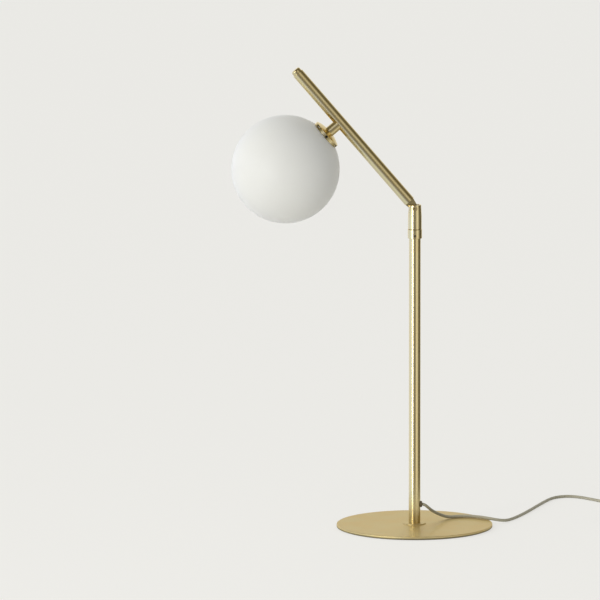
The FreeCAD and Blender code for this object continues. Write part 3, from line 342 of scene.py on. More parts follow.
@dataclass(frozen=True)
class SatinBrass(Finish):
    """Lacquered satin brass: fine drawing marks, cloudy lacquer, faint warm patches."""

    frame: Matrix | None = None
    stretch: Point = (1.0, 1.0, 0.02)
    colour: Point = (0.800, 0.665, 0.345)
    rough: float = 0.24
    glance: Point = (1.0, 0.97, 0.88)
    # Height below which the colour is darkened as painted shade, and the share of the colour kept there.
    painted_shade_below: float | None = None
    painted_shade_share: float = 0.42

    def shader(self, paint: Paint) -> Sock:
        """Brass with marks along its frame's long axis, with painted shade below a height if asked."""
        marks = paint.noise(paint.mapped(self.frame, self.stretch), 5200.0, detail=2.0, rough=0.6)
        cloud = paint.noise(paint.place(), 38.0, rough=0.55)
        fine = paint.noise(paint.place(), 900.0, detail=2.0)
        tone = paint.mix(cloud.above(0.52, soft=0.35), self.colour, shaded(self.colour, 1.02, 0.975, 0.90))
        tone = paint.mix(marks * 0.16, tone, shaded(self.colour, 0.84))
        # Painted shade: below the given height the brass colour is darkened, standing in for the dark floor
        # that the side reflects and for its contact shadow.
        if self.painted_shade_below is not None:
            lit = paint.split(paint.place())[2].above(self.painted_shade_below, soft=0.5 * MM)
            tone = paint.mix(lit, shaded(self.colour, self.painted_shade_share), tone)
        rough = (cloud - 0.5) * 0.06 + (marks - 0.5) * 0.03 + self.rough
        normal = paint.bump(marks * 0.7 + fine * 0.3, depth=0.004 * MM, strength=0.2)
        return paint.skin(tone, rough, normal, {
            "Metallic": 1.0, "Specular Tint": rgba(self.glance),
            "Coat Weight": 0.12, "Coat Roughness": 0.12, "Coat IOR": 1.45,
        })


@dataclass(frozen=True)
class OpalGlass(Finish):
    """Satin-etched opal glass: milky, soft sheen, light passing through its skin."""

    colour: Point = (0.905, 0.910, 0.848)
    cloudy: Point = (0.885, 0.882, 0.842)

    def shader(self, paint: Paint) -> Sock:
        """Milky glass with a faint cloud and an etched sheen."""
        cloud = paint.noise(paint.place(), 26.0, detail=2.0)
        etch = paint.noise(paint.place(), 3200.0, detail=2.0, rough=0.6)
        tone = paint.mix(cloud.spread(0.0, 0.35), self.colour, self.cloudy)
        normal = paint.bump(etch, depth=0.003 * MM, strength=0.4)
        return paint.skin(tone, (etch - 0.5) * 0.10 + 0.42, normal, {
            "IOR": 1.5, "Specular IOR Level": 0.30, "Subsurface Weight": 0.35,
            "Subsurface Radius": (0.012, 0.012, 0.011), "Subsurface Scale": 1.0,
        })


@dataclass(frozen=True)
class Steel(Finish):
    """Plated steel for screws, nuts and inner parts."""

    colour: Point = (0.56, 0.55, 0.53)
    rough: float = 0.32

    def shader(self, paint: Paint) -> Sock:
        """Plated steel with turning marks."""
        marks = paint.noise(paint.mapped(None, (1.0, 1.0, 0.2)), 3000.0, detail=2.0, rough=0.6)
        cloud = paint.noise(paint.place(), 160.0)
        tone = paint.mix(cloud, self.colour, shaded(self.colour, 0.86))
        rough = marks.spread(self.rough - 0.05, self.rough + 0.09)
        return paint.skin(tone, rough, paint.bump(marks, depth=0.006 * MM, strength=0.5), {"Metallic": 1.0})


@dataclass(frozen=True)
class Moulded(Finish):
    """Moulded plastic or rubber with a fine spark-etched grain."""

    colour: Point = (0.020, 0.018, 0.015)
    rough: float = 0.45
    grain: float = 2400.0
    depth: float = 0.02 * MM
    sheen: float = 0.35

    def shader(self, paint: Paint) -> Sock:
        """Plastic with grain, faint flow marks and rubbed highs."""
        grain = paint.noise(paint.place(), self.grain, detail=2.0, rough=0.6)
        flow = paint.noise(paint.mapped(None, (1.0, 0.3, 1.0)), 90.0)
        light = tuple(min(1.0, channel * 1.25 + 0.004) for channel in self.colour)
        tone = paint.mix(flow.above(0.5, soft=0.4) * 0.6, self.colour, light)
        rough = (flow - 0.5) * 0.12 + grain * 0.06 + self.rough
        normal = paint.bump(grain, depth=self.depth, strength=0.5)
        return paint.skin(tone, rough, normal, {"Specular IOR Level": self.sheen})


@dataclass(frozen=True)
class Felt(Finish):
    """Needled felt under the foot."""

    colour: Point = (0.030, 0.028, 0.026)
    fluff: Point = (0.075, 0.071, 0.066)

    def shader(self, paint: Paint) -> Sock:
        """Felt with tangled fibres."""
        fibre = paint.noise(paint.mapped(None, (1.0, 0.3, 1.0)), 2600.0, detail=4.0, rough=0.7)
        across = paint.noise(paint.mapped(None, (0.3, 1.0, 1.0)), 2300.0, detail=4.0, rough=0.7)
        tangle = fibre * 0.5 + across * 0.5
        tone = paint.mix(tangle.above(0.52, soft=0.25), self.colour, self.fluff)
        return paint.skin(tone, 0.95, paint.bump(tangle, depth=0.15 * MM, strength=0.7), {
            "Specular IOR Level": 0.1, "Sheen Weight": 0.4, "Sheen Roughness": 0.5,
        })


@dataclass(frozen=True)
class Porcelain(Finish):
    """Unglazed steatite of the lampholder."""

    colour: Point = (0.78, 0.76, 0.70)
    speck: Point = (0.60, 0.57, 0.50)

    def shader(self, paint: Paint) -> Sock:
        """Chalky ceramic with specks and a press bloom."""
        specks = paint.noise(paint.place(), 1500.0, rough=0.6)
        bloom = paint.noise(paint.place(), 120.0)
        tone = paint.mix(specks.above(0.66, soft=0.12) * 0.5 + bloom * 0.3, self.colour, self.speck)
        return paint.skin(tone, bloom.spread(0.55, 0.72), paint.bump(specks, depth=0.03 * MM, strength=0.5))


@dataclass(frozen=True)
class FrostedBulb(Finish):
    """Frosted glass of the small bulb."""

    colour: Point = (0.88, 0.88, 0.85)
    etched: Point = (0.80, 0.80, 0.76)

    def shader(self, paint: Paint) -> Sock:
        """Frosted white glass with a fine etch."""
        etch = paint.noise(paint.place(), 2200.0, detail=2.0, rough=0.6)
        tone = paint.mix(etch * 0.4, self.colour, self.etched)
        return paint.skin(tone, etch.spread(0.30, 0.42), paint.bump(etch, depth=0.01 * MM, strength=0.4), {
            "IOR": 1.5, "Subsurface Weight": 0.2, "Subsurface Radius": (0.004, 0.004, 0.004),
            "Subsurface Scale": 1.0,
        })


@dataclass(frozen=True)
class CordSkin(Finish):
    """Smooth cord sheath, a little dusty."""

    colour: Point = (0.415, 0.390, 0.290)

    def shader(self, paint: Paint) -> Sock:
        """Soft sheath with dusty highs and a fine grain."""
        dust = paint.noise(paint.place(), 420.0, rough=0.6)
        grain = paint.noise(paint.place(), 4200.0, detail=2.0)
        tone = paint.mix(dust.above(0.5, soft=0.4), self.colour, shaded(self.colour, 1.15))
        normal = paint.bump(grain, depth=0.01 * MM, strength=0.4)
        return paint.skin(tone, dust.spread(0.42, 0.55), normal, {"Specular IOR Level": 0.4})


UPRIGHT_BRASS = SatinBrass("brass_upright", Slot.BRASS)
# The plate's rim side below 2.2 mm is darkened as painted shade.
PLATE_BRASS = SatinBrass("brass_plate", Slot.BRASS, stretch=(0.05, 1.0, 1.0), colour=(0.84, 0.70, 0.365),
                         rough=0.52, glance=(0.95, 0.86, 0.66), painted_shade_below=2.2 * MM)
ARM_BRASS = SatinBrass("brass_arm", Slot.BRASS, PLACES.arm_frame)
GLOBE_BRASS = SatinBrass("brass_globe_cap", Slot.BRASS, PLACES.globe_frame, (1.0, 1.0, 0.6))
OPAL = OpalGlass("glass_opal", Slot.OPAL)
STEEL = Steel("steel_plated", Slot.STEEL)
BLACK_STEEL = Steel("steel_blacked", Slot.STEEL, (0.055, 0.048, 0.038), 0.42)
BRONZED_STEEL = Steel("steel_bronzed", Slot.STEEL, (0.66, 0.54, 0.29), 0.62)
DULL_STEEL = Steel("steel_dull", Slot.STEEL, (0.26, 0.21, 0.12), 0.45)
FELT = Felt("felt_pad", Slot.FELT)
SEAL = Moulded("rubber_ring", Slot.SEAL, (0.62, 0.61, 0.56), 0.6)
PORCELAIN = Porcelain("steatite", Slot.PORCELAIN)
BULB = FrostedBulb("bulb_frosted", Slot.BULB)
CORD = CordSkin("cord_sheath", Slot.CORD)
DARK = Moulded("plastic_dark", Slot.DARK)
BUSHING = Moulded("plastic_bushing", Slot.DARK, (0.135, 0.110, 0.065), 0.5)
BUSH = Moulded("plastic_bush", Slot.BUSH, (0.62, 0.58, 0.46), 0.5)

CARRIED = (
    (FELT, ("base_pad",)),
    (STEEL, ("base_screw", "post_plug", "pivot_nut", "pivot_washers", "cap_nipple", "nipple_nut",
             "bulb_pins", "switch_screws", "plug_pins")),
    (BRONZED_STEEL, ("swivel_spindle", "swivel_washer")),
    (DULL_STEEL, ("collar_grub_screw",)),
    (BLACK_STEEL, ("cap_lock_screw",)),
    (CORD, ("post_lead", "arm_lead")),
    (BUSH, ("swivel_bush",)),
    (SEAL, ("globe_gasket",)),
    (PORCELAIN, ("lampholder",)),
    (BULB, ("bulb_body",)),
)


# ---------------------------------------------------------------- modelling steps


class Bench:
    """Modelling steps that the sub-assemblies share."""

    @staticmethod
    def clear() -> None:
        """Leave edit mode and select nothing."""
        if bpy.context.object and bpy.context.object.mode != "OBJECT":
            bpy.ops.object.mode_set(mode="OBJECT")
        bpy.ops.object.select_all(action="DESELECT")

    @staticmethod
    def only(piece: bpy.types.Object) -> None:
        """Select one object and make it active."""
        Bench.clear()
        piece.select_set(True)
        bpy.context.view_layer.objects.active = piece

    @staticmethod
    def named(name: str) -> bpy.types.Object:
        """Apply a new primitive's placement and name it."""
        piece = bpy.context.object
        bpy.ops.object.transform_apply(location=True, rotation=True, scale=True)
        piece.name = name
        piece.data.name = name
        return piece

    @staticmethod
    def turned(name: str, rings: Sequence[Ring], steps: int = 96, closed: bool = True) -> bpy.types.Object:
        """Model a turned piece: a ring is extruded and resized from station to station.

        Args:
            name: the piece's name.
            rings: radius and height of each station, in millimetres.
            steps: vertices round a ring.
            closed: whether the last station runs back to the first.

        Returns:
            The piece, about the Z axis.
        """
        stations = [(max(radius, LEAST_RADIUS) * MM, height * MM) for radius, height in rings]
        if closed:
            stations.append(stations[0])
        Bench.clear()
        radius, height = stations[0]
        bpy.ops.mesh.primitive_circle_add(vertices=steps, radius=radius, location=(0.0, 0.0, height))
        piece = Bench.named(name)
        bpy.ops.object.mode_set(mode="EDIT")
        bpy.ops.mesh.select_mode(type="VERT")
        bpy.ops.mesh.select_all(action="SELECT")
        for next_radius, next_height in stations[1:]:
            bpy.ops.mesh.extrude_region_move(
                TRANSFORM_OT_translate={"value": (0.0, 0.0, next_height - height)})
            grow = next_radius / radius
            if not math.isclose(grow, 1.0):
                bpy.ops.transform.resize(value=(grow, grow, 1.0), center_override=(0.0, 0.0, next_height))
            radius, height = next_radius, next_height
        bpy.ops.mesh.select_all(action="SELECT")
        bpy.ops.mesh.remove_doubles(threshold=WELD * MM)
        bpy.ops.mesh.normals_make_consistent(inside=False)
        bpy.ops.object.mode_set(mode="OBJECT")
        return piece

    @staticmethod
    def block(name: str, low: Point, high: Point) -> bpy.types.Object:
        """A cube primitive at its size and place, in millimetres.

        Args:
            name: the piece's name.
            low: its lowest corner.
            high: its highest corner.

        Returns:
            The block.
        """
        Bench.clear()
        middle = [(one + other) / 2 * MM for one, other in zip(low, high)]
        bpy.ops.mesh.primitive_cube_add(size=1.0, location=middle)
        bpy.context.object.scale = [(other - one) * MM for one, other in zip(low, high)]
        return Bench.named(name)

    @staticmethod
    def rod(name: str, radius: float, low: Point, high: Point, steps: int = 48) -> bpy.types.Object:
        """A cylinder primitive between two points, in millimetres.

        Args:
            name: the piece's name.
            radius: its radius.
            low: the centre of one end.
            high: the centre of the other end.
            steps: vertices round it.

        Returns:
            The rod.
        """
        start, stop = Vector(low) * MM, Vector(high) * MM
        turn = (stop - start).to_track_quat("Z", "Y").to_euler()
        Bench.clear()
        bpy.ops.mesh.primitive_cylinder_add(vertices=steps, radius=radius * MM, depth=(stop - start).length,
                                            location=(start + stop) / 2, rotation=turn)
        return Bench.named(name)

    @staticmethod
    def apply(piece: bpy.types.Object, kind: str, **settings: object) -> None:
        """Add a modifier with the given properties and apply it."""
        Bench.only(piece)
        bpy.ops.object.modifier_add(type=kind)
        modifier = piece.modifiers[-1]
        for key, value in settings.items():
            setattr(modifier, key, value)
        bpy.ops.object.modifier_apply(modifier=modifier.name)

    @staticmethod
    def pick(piece: bpy.types.Object, kind: str, chosen: Callable[..., bool]) -> None:
        """Open a piece in edit mode with only the chosen parts of its mesh selected.

        Args:
            piece: the piece.
            kind: VERT, EDGE or FACE.
            chosen: the test that a vertex, edge or face has to pass.
        """
        Bench.only(piece)
        bpy.ops.object.mode_set(mode="EDIT")
        bpy.ops.mesh.select_mode(type=kind)
        mesh = bmesh.from_edit_mesh(piece.data)
        for part in (*mesh.verts, *mesh.edges, *mesh.faces):
            part.select = False
        for part in {"VERT": mesh.verts, "EDGE": mesh.edges, "FACE": mesh.faces}[kind]:
            part.select_set(chosen(part))
        mesh.select_flush_mode()
        bmesh.update_edit_mesh(piece.data)

    @staticmethod
    def round_edges(piece: bpy.types.Object, chosen: Callable[[float, float], bool], width: float,
                    segments: int) -> None:
        """Round the edges that a test chooses by the heights of their ends.

        Args:
            piece: the piece.
            chosen: the test, which takes both heights in millimetres.
            width: the rounding in millimetres.
            segments: its steps.
        """
        Bench.pick(piece, "EDGE", lambda edge: chosen(*(vertex.co.z / MM for vertex in edge.verts)))
        bpy.ops.mesh.bevel(offset=width * MM, segments=segments, affect="EDGES")
        bpy.ops.object.mode_set(mode="OBJECT")

    @staticmethod
    def grow_end(piece: bpy.types.Object, station: float, grow: tuple[float, float],
                 reach: float | None = None) -> None:
        """Resize the face across +Y at a station, after drawing it out if asked.

        Args:
            piece: the piece.
            station: the face's place along Y in millimetres.
            grow: scale across and up.
            reach: where the face is drawn out to first, or None.
        """
        Bench.pick(piece, "FACE", lambda face: face.normal.y > 0.9
                   and abs(face.calc_center_median().y / MM - station) < NEAR)
        if reach is not None:
            bpy.ops.mesh.extrude_region_move(
                TRANSFORM_OT_translate={"value": (0.0, (reach - station) * MM, 0.0)})
            station = reach
        bpy.ops.transform.resize(value=(grow[0], 1.0, grow[1]), center_override=(0.0, station * MM, 0.0))
        bpy.ops.object.mode_set(mode="OBJECT")

    @staticmethod
    def bevel(piece: bpy.types.Object, width: float, segments: int, angle: float) -> None:
        """Round, by millimetres, every edge sharper than an angle in degrees."""
        Bench.apply(piece, "BEVEL", width=width * MM, segments=segments, limit_method="ANGLE",
                    angle_limit=math.radians(angle), use_clamp_overlap=True)

    @staticmethod
    def cut(piece: bpy.types.Object, *cutters: bpy.types.Object, join: bool = False) -> None:
        """Cut pieces away, or join them on.

        Args:
            piece: the piece that stays.
            cutters: the pieces that are used up.
            join: join them instead.
        """
        for cutter in cutters:
            Bench.apply(piece, "BOOLEAN", object=cutter, solver="EXACT",
                        operation="UNION" if join else "DIFFERENCE")
            bpy.data.objects.remove(cutter)

    @staticmethod
    def settle(piece: bpy.types.Object, frame: Matrix) -> None:
        """Move a piece's mesh into a frame and leave its object at the origin."""
        Bench.only(piece)
        piece.matrix_world = frame
        bpy.ops.object.transform_apply(location=True, rotation=True, scale=True)

    @staticmethod
    def smooth(piece: bpy.types.Object, angle: float) -> None:
        """Shade smooth except over sharp edges, and keep wide faces flat.

        Args:
            piece: the piece.
            angle: edges sharper than this stay sharp, in degrees.
        """
        Bench.only(piece)
        bpy.ops.object.shade_smooth_by_angle(angle=math.radians(angle))
        Bench.apply(piece, "WEIGHTED_NORMAL", mode="FACE_AREA", weight=100, keep_sharp=True)

    @staticmethod
    def arc(centre: Ring, radius: float, start: float, stop: float, steps: int) -> list[Ring]:
        """Stations on an arc of a profile; its angles run in degrees from outwards to up."""
        angles = [math.radians(start + (stop - start) * step / steps) for step in range(steps + 1)]
        return [(centre[0] + radius * math.cos(angle), centre[1] + radius * math.sin(angle))
                for angle in angles]


def at(point: Sequence[float]) -> Matrix:
    """The placement of a point in millimetres."""
    return Matrix.Translation([amount * MM for amount in point])


def turned_by(degrees: float, axis: str) -> Matrix:
    """A turn about an axis."""
    return Matrix.Rotation(math.radians(degrees), 4, axis)


def wear(item: bpy.types.Object, finish: Finish) -> None:
    """Give a piece, or a CAD node that is carried over, its finish.

    Args:
        item: the object.
        finish: its finish.
    """
    item.data.materials.clear()
    item.data.materials.append(finish.made())
    LOG.info("%s wears %s", item.name, finish.name)


def finish_piece(piece: bpy.types.Object, finish: Finish, body: Body, *nodes: str) -> bpy.types.Object:
    """Dress a piece, tie it to its body and let it stand for its CAD nodes.

    Args:
        piece: the piece.
        finish: its finish.
        body: the body it moves with.
        nodes: the CAD nodes that it replaces.

    Returns:
        The piece.
    """
    wear(piece, finish)
    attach(piece, body.value)
    if nodes:
        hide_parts(*nodes)
    return piece


def complete(piece: bpy.types.Object, finish: Finish, body: Body, *nodes: str,
             frame: Matrix | None = None, angle: float = 32.0) -> bpy.types.Object:
    """Settle, smooth and finish a modelled piece.

    Args:
        piece: the piece.
        finish: its finish.
        body: the body it moves with.
        nodes: the CAD nodes that it replaces.
        frame: where its mesh goes, or None where it lies in place.
        angle: edges sharper than this stay sharp, in degrees.

    Returns:
        The piece.
    """
    if frame is not None:
        Bench.settle(piece, frame)
    Bench.smooth(piece, angle)
    return finish_piece(piece, finish, body, *nodes)


# ---------------------------------------------------------------- sub-assemblies


def thirds(start: float) -> list[Matrix]:
    """Turns about Z to three evenly spaced places, the first at an angle in degrees."""
    return [turned_by(start + 120.0 * number, "Z") for number in range(3)]


def upright(one: float, other: float) -> bool:
    """Whether an edge between two heights in millimetres stands up."""
    return abs(one - other) > 1.0


@dataclass
class Foot:
    """The round foot plate, bored for its screw, and the flange on it."""

    radius: float = 86.5
    low: float = 0.7
    top: float = 3.9
    edge: float = 0.6
    flange_radius: float = 12.5
    flange_thick: float = 1.0
    screw_radius: float = 3.3
    head_radius: float = 6.1
    head_depth: float = 2.8

    def build(self) -> None:
        """Model the plate and the flange."""
        edge = self.edge
        outline = [(self.screw_radius, self.top), (self.screw_radius, self.low + self.head_depth),
                   (self.head_radius, self.low)]
        outline += Bench.arc((self.radius - edge, self.low + edge), edge, -90.0, 0.0, 4)
        outline += Bench.arc((self.radius - edge, self.top - edge), edge, 0.0, 90.0, 4)
        complete(Bench.turned("foot_plate", outline, 192), PLATE_BRASS, Body.STAND, "base_plate")

        flange_top = self.top + self.flange_thick
        outline = [(self.screw_radius, self.top), (self.flange_radius, self.top)]
        outline += Bench.arc((self.flange_radius - edge, flange_top - edge), edge, 0.0, 90.0, 5)
        outline += [(self.screw_radius, flange_top)]
        complete(Bench.turned("post_flange", outline), PLATE_BRASS, Body.STAND, "foot_flange")


@dataclass
class Post:
    """The upright tube with its cord bushing and collar."""

    radius: float = 6.5
    bore: float = 5.3
    low: float = 4.9
    top: float = 334.5
    cord_up: float = 25.9
    cord_hole: float = 2.7
    bushing_rings: tuple[Ring, ...] = ((1.7, 5.3), (2.7, 5.3), (2.7, 6.2), (3.5, 6.2), (3.5, 7.3))
    bushing_mouth: Ring = (1.7, 8.5)
    bushing_round: float = 1.0
    collar_radius: float = 7.95
    collar_low: float = 324.8
    collar_top: float = 335.0
    collar_bevel: float = 0.5
    collar_edge: float = 0.2
    grub_up: float = 3.468
    grub_radius: float = 1.5

    def build(self) -> None:
        """Model the tube, the bushing and the collar."""
        tube = Bench.turned("post", [(self.bore, self.low), (self.radius, self.low),
                                     (self.radius, self.top), (self.bore, self.top)])
        Bench.cut(tube, Bench.rod("post_hole", self.cord_hole, (3.0, 0.0, self.cord_up),
                                  (OUTSIDE, 0.0, self.cord_up), 32))
        complete(tube, UPRIGHT_BRASS, Body.STAND, "post_tube")
        self.bushing()
        self.collar()

    def bushing(self) -> None:
        """Model the dark bushing where the cord leaves the post; its rings run along the cord."""
        wide, mouth = self.bushing_rings[-1][0], self.bushing_mouth
        turn = self.bushing_round
        rings = [*self.bushing_rings, *Bench.arc((wide - turn, mouth[1] - turn), turn, 0.0, 90.0, 5), mouth]
        complete(Bench.turned("cord_bushing", rings, 48), BUSHING, Body.STAND, "cord_gland",
                 frame=at((0.0, 0.0, self.cord_up)) @ turned_by(90.0, "Y"))

    def collar(self) -> None:
        """Model the collar ring and the hole of its grub screw."""
        bevel, edge = self.collar_bevel, self.collar_edge
        outline = [(self.radius, self.collar_low)]
        outline += Bench.arc((self.collar_radius - bevel, self.collar_low + bevel), bevel, -90.0, 0.0, 4)
        outline += Bench.arc((self.collar_radius - edge, self.collar_top - edge), edge, 0.0, 90.0, 3)
        outline += [(self.radius, self.collar_top)]
        collar = Bench.turned("collar", outline)
        height = self.collar_low + self.grub_up
        Bench.cut(collar, Bench.rod("collar_hole", self.grub_radius, (0.0, -OUTSIDE, height),
                                    (0.0, -6.0, height), 32))
        complete(collar, UPRIGHT_BRASS, Body.STAND, "collar_ring")


@dataclass
class Knuckle:
    """The slotted sleeve that swivels on the post and holds the arm's tongue."""

    radius: float = 7.6
    top_radius: float = 7.0
    bore: float = 6.0
    bore_top: float = 347.1
    wire_bore: float = 2.6
    low: float = 335.3
    top: float = 362.5
    taper: float = 13.0
    low_edge: float = 0.3
    top_edge: float = 0.5
    pivot_up: float = 359.0
    slot: float = 4.4
    slot_back: float = 4.8
    slot_floor: float = 353.6
    wire_roof: float = 353.2
    head_radius: float = 2.7
    head_face: float = 6.4
    head_thick: float = 2.2
    head_edge: float = 0.3
    shank: float = 1.5
    shank_short: float = 0.8
    socket: float = 1.45
    socket_depth: float = 1.5

    def build(self) -> None:
        """Model the sleeve with its slot and recesses, and the pivot screw."""
        foot, edge = self.low_edge, self.top_edge
        outline = [(self.bore, self.low), (self.radius - foot, self.low), (self.radius, self.low + foot),
                   (self.radius, self.top - self.taper), (self.top_radius, self.top - edge)]
        outline += Bench.arc((self.top_radius - edge, self.top - edge), edge, 20.0, 90.0, 4)
        outline += [(0.0, self.top), (0.0, self.wire_roof), (self.wire_bore, self.wire_roof),
                    (self.wire_bore, self.bore_top), (self.bore, self.bore_top)]
        sleeve = Bench.turned("knuckle", outline)
        half = self.slot / 2
        Bench.cut(sleeve, Bench.block("knuckle_slot", (-OUTSIDE, -half, self.slot_floor),
                                      (self.slot_back, half, self.top + OVER)))
        for way in (-1.0, 1.0):
            inner = (0.0, way * (self.head_face - self.head_thick), self.pivot_up)
            outer = (0.0, way * OUTSIDE, self.pivot_up)
            Bench.cut(sleeve, Bench.rod("knuckle_recess", self.head_radius, inner, outer))
        complete(sleeve, UPRIGHT_BRASS, Body.KNUCKLE, "knuckle_sleeve")
        self.pivot()

    def pivot(self) -> None:
        """Model the bronzed socket screw at the pivot."""
        face, radius, edge = self.head_face, self.head_radius, self.head_edge
        under, end = -face + self.head_thick, face - self.shank_short
        screw = Bench.turned("pivot_bolt", [(0.0, -face), (radius - edge, -face), (radius, -face + edge),
                                            (radius, under), (self.shank, under), (self.shank, end),
                                            (0.0, end)], 48, closed=False)
        Bench.cut(screw, Bench.rod("pivot_socket", self.socket, (0.0, 0.0, -face - 1.0),
                                   (0.0, 0.0, -face + self.socket_depth), 6))
        complete(screw, BRONZED_STEEL, Body.KNUCKLE, "pivot_screw",
                 frame=at((0.0, 0.0, self.pivot_up)) @ turned_by(-90.0, "X"))


@dataclass
class Arm:
    """The slanted tube with its tongue, end plug and stem; heights run up the arm from the pivot."""

    radius: float = 6.3
    bore: float = 5.2
    start: float = 9.4
    end: float = 199.0
    edge: float = 0.15
    tongue: float = 3.2
    tongue_edge: float = 0.2
    eye: float = 3.8
    eye_hole: float = 1.55
    root: float = 11.4
    spigot: float = 18.0
    plug_radius: float = 5.35
    plug_root: float = 8.0
    plug_out: float = 4.8
    plug_round: float = 0.4
    stem_radius: float = 5.9
    stem_bore: float = 4.0
    stem_low: float = 64.41
    saddle: float = 12.0

    def build(self) -> None:
        """Model the tube, its end plug, the tongue and the stem."""
        inset = self.radius - self.edge
        tube = Bench.turned("arm", [(self.bore, self.start), (inset, self.start),
                                    (self.radius, self.start + self.edge),
                                    (self.radius, self.end - self.edge), (inset, self.end),
                                    (self.bore, self.end)])
        complete(tube, ARM_BRASS, Body.ARM, "arm_tube", frame=PLACES.arm_frame)

        root, tip = self.end - self.plug_root, self.end + self.plug_out
        rise = self.plug_out * self.plug_round
        outline = [(0.0, root), (self.bore, root), (self.bore, self.end), (self.plug_radius, self.end)]
        outline += Bench.arc((self.plug_radius - rise, tip - rise), rise, 0.0, 90.0, 8)
        outline += [(0.0, tip)]
        complete(Bench.turned("arm_plug", outline, closed=False), ARM_BRASS, Body.ARM, "arm_end_plug",
                 frame=PLACES.arm_frame)
        self.tongue_piece()
        self.stem()

    def tongue_piece(self) -> None:
        """Model the flat tongue: an eye disc, a blade that widens to the tube and a spigot in it."""
        half = self.tongue / 2
        tongue = Bench.block("arm_tongue_piece", (-self.eye, -half, 0.0), (self.eye, half, self.start))
        Bench.pick(tongue, "VERT", lambda vertex: vertex.co.z > self.start * MM / 2)
        bpy.ops.transform.resize(value=(self.root / 2 / self.eye, 1.0, 1.0),
                                 center_override=(0.0, 0.0, self.start * MM))
        bpy.ops.object.mode_set(mode="OBJECT")
        eye = Bench.rod("arm_eye", self.eye, (0.0, -half, 0.0), (0.0, half, 0.0))
        spigot = Bench.rod("arm_spigot", self.bore, (0.0, 0.0, self.start),
                           (0.0, 0.0, self.start + self.spigot))
        Bench.cut(tongue, eye, spigot, join=True)
        Bench.cut(tongue, Bench.rod("eye_hole", self.eye_hole, (0.0, -4.0, 0.0), (0.0, 4.0, 0.0), 32))
        Bench.bevel(tongue, self.tongue_edge, 2, 50.0)
        complete(tongue, ARM_BRASS, Body.ARM, "arm_tongue", frame=PLACES.arm_frame)

    def stem(self) -> None:
        """Model the stem, its upper end cut to sit round the arm."""
        drop = PLACES.globe_drop / MM
        stem = Bench.turned("stem", [(self.stem_bore, self.stem_low), (self.stem_radius, self.stem_low),
                                     (self.stem_radius, drop), (self.stem_bore, drop)])
        Bench.cut(stem, Bench.rod("stem_saddle", self.radius, (-self.saddle, 0.0, drop),
                                  (self.saddle, 0.0, drop), 96))
        complete(stem, GLOBE_BRASS, Body.ARM, "stem_tube", frame=PLACES.globe_frame)


@dataclass
class GlobeHead:
    """The opal globe with its neck and lugs, and its cap; heights run from the globe's centre."""

    radius: float = 60.0
    glass: float = 2.5
    neck: float = 14.0
    neck_bore: float = 11.9
    neck_top: float = 60.2
    lip: float = 0.3
    lug_turn: float = 246.0
    lug_root: float = 1.0
    lug_out: float = 1.2
    lug_half: float = 3.5
    lug_deep: float = 1.4
    cap_radius: float = 17.3
    cap_bore: float = 15.9
    cap_low: float = 58.155
    cap_skirt: float = 57.752
    cap_roof: float = 61.0
    cap_edge: float = 61.252
    cap_break: float = 0.15
    cap_apex: float = 64.652
    nipple: float = 4.0
    stem_radius: float = 5.9
    window_turn: float = 216.0
    window_root: float = 1.4
    window_half: Ring = (3.0, 1.1)
    lock_radius: float = 1.5
    lock_span: Ring = (-20.8, -13.8)

    def build(self) -> None:
        """Model the globe and its cap."""
        self.globe()
        self.cap()

    def globe(self) -> None:
        """Model the blown shell with its short neck and three lugs."""
        inner, lip = self.radius - self.glass, self.lip
        outer_stop = math.degrees(math.acos(self.neck / self.radius))
        inner_stop = math.degrees(math.acos(self.neck_bore / inner))
        outline = Bench.arc((0.0, 0.0), self.radius, -90.0, outer_stop, 72)
        outline += [(self.neck, self.neck_top - lip), (self.neck - lip, self.neck_top),
                    (self.neck_bore + lip, self.neck_top), (self.neck_bore, self.neck_top - lip)]
        outline += Bench.arc((0.0, 0.0), inner, inner_stop, -90.0, 48)
        globe = Bench.turned("globe", outline, 144, closed=False)
        half, lug_low = self.lug_half, self.neck_top - self.lug_deep
        for turn in thirds(self.lug_turn):
            lug = Bench.block("lug", (self.neck - self.lug_root, -half, lug_low),
                              (self.neck + self.lug_out, half, self.neck_top))
            Bench.settle(lug, turn)
            Bench.cut(globe, lug, join=True)
        complete(globe, OPAL, Body.ARM, "opal_globe", frame=PLACES.globe_frame, angle=40.0)

    def cap(self) -> None:
        """Model the shallow domed cap with its windows and its lock screw's hole."""
        rise = self.cap_apex - self.cap_edge
        centre = self.cap_edge + (rise ** 2 + self.stem_radius ** 2 - self.cap_radius ** 2) / (2 * rise)
        dome = math.hypot(self.cap_radius, self.cap_edge - centre)
        start = math.degrees(math.atan2(self.cap_edge - centre, self.cap_radius))
        stop = math.degrees(math.atan2(self.cap_apex - centre, self.stem_radius))
        outline = [(self.nipple, self.cap_roof), (self.cap_bore, self.cap_roof),
                   (self.cap_bore, self.cap_low), (self.cap_radius, self.cap_skirt),
                   (self.cap_radius, self.cap_edge - self.cap_break)]
        outline += Bench.arc((0.0, centre), dome, start, stop, 12)
        outline += [(self.nipple, self.cap_apex)]
        cap = Bench.turned("globe_cap_piece", outline, 144)
        middle = (self.cap_low + self.cap_edge) / 2
        across, up = self.window_half
        for turn in thirds(self.window_turn):
            window = Bench.block("cap_window", (self.cap_bore - self.window_root, -across, middle - up),
                                 (self.cap_radius * 2, across, middle + up))
            Bench.settle(window, turn)
            Bench.cut(cap, window)
        outside, inside = self.lock_span
        Bench.cut(cap, Bench.rod("cap_hole", self.lock_radius, (0.0, outside, middle),
                                 (0.0, inside, middle), 32))
        complete(cap, GLOBE_BRASS, Body.ARM, "globe_cap", frame=PLACES.globe_frame)


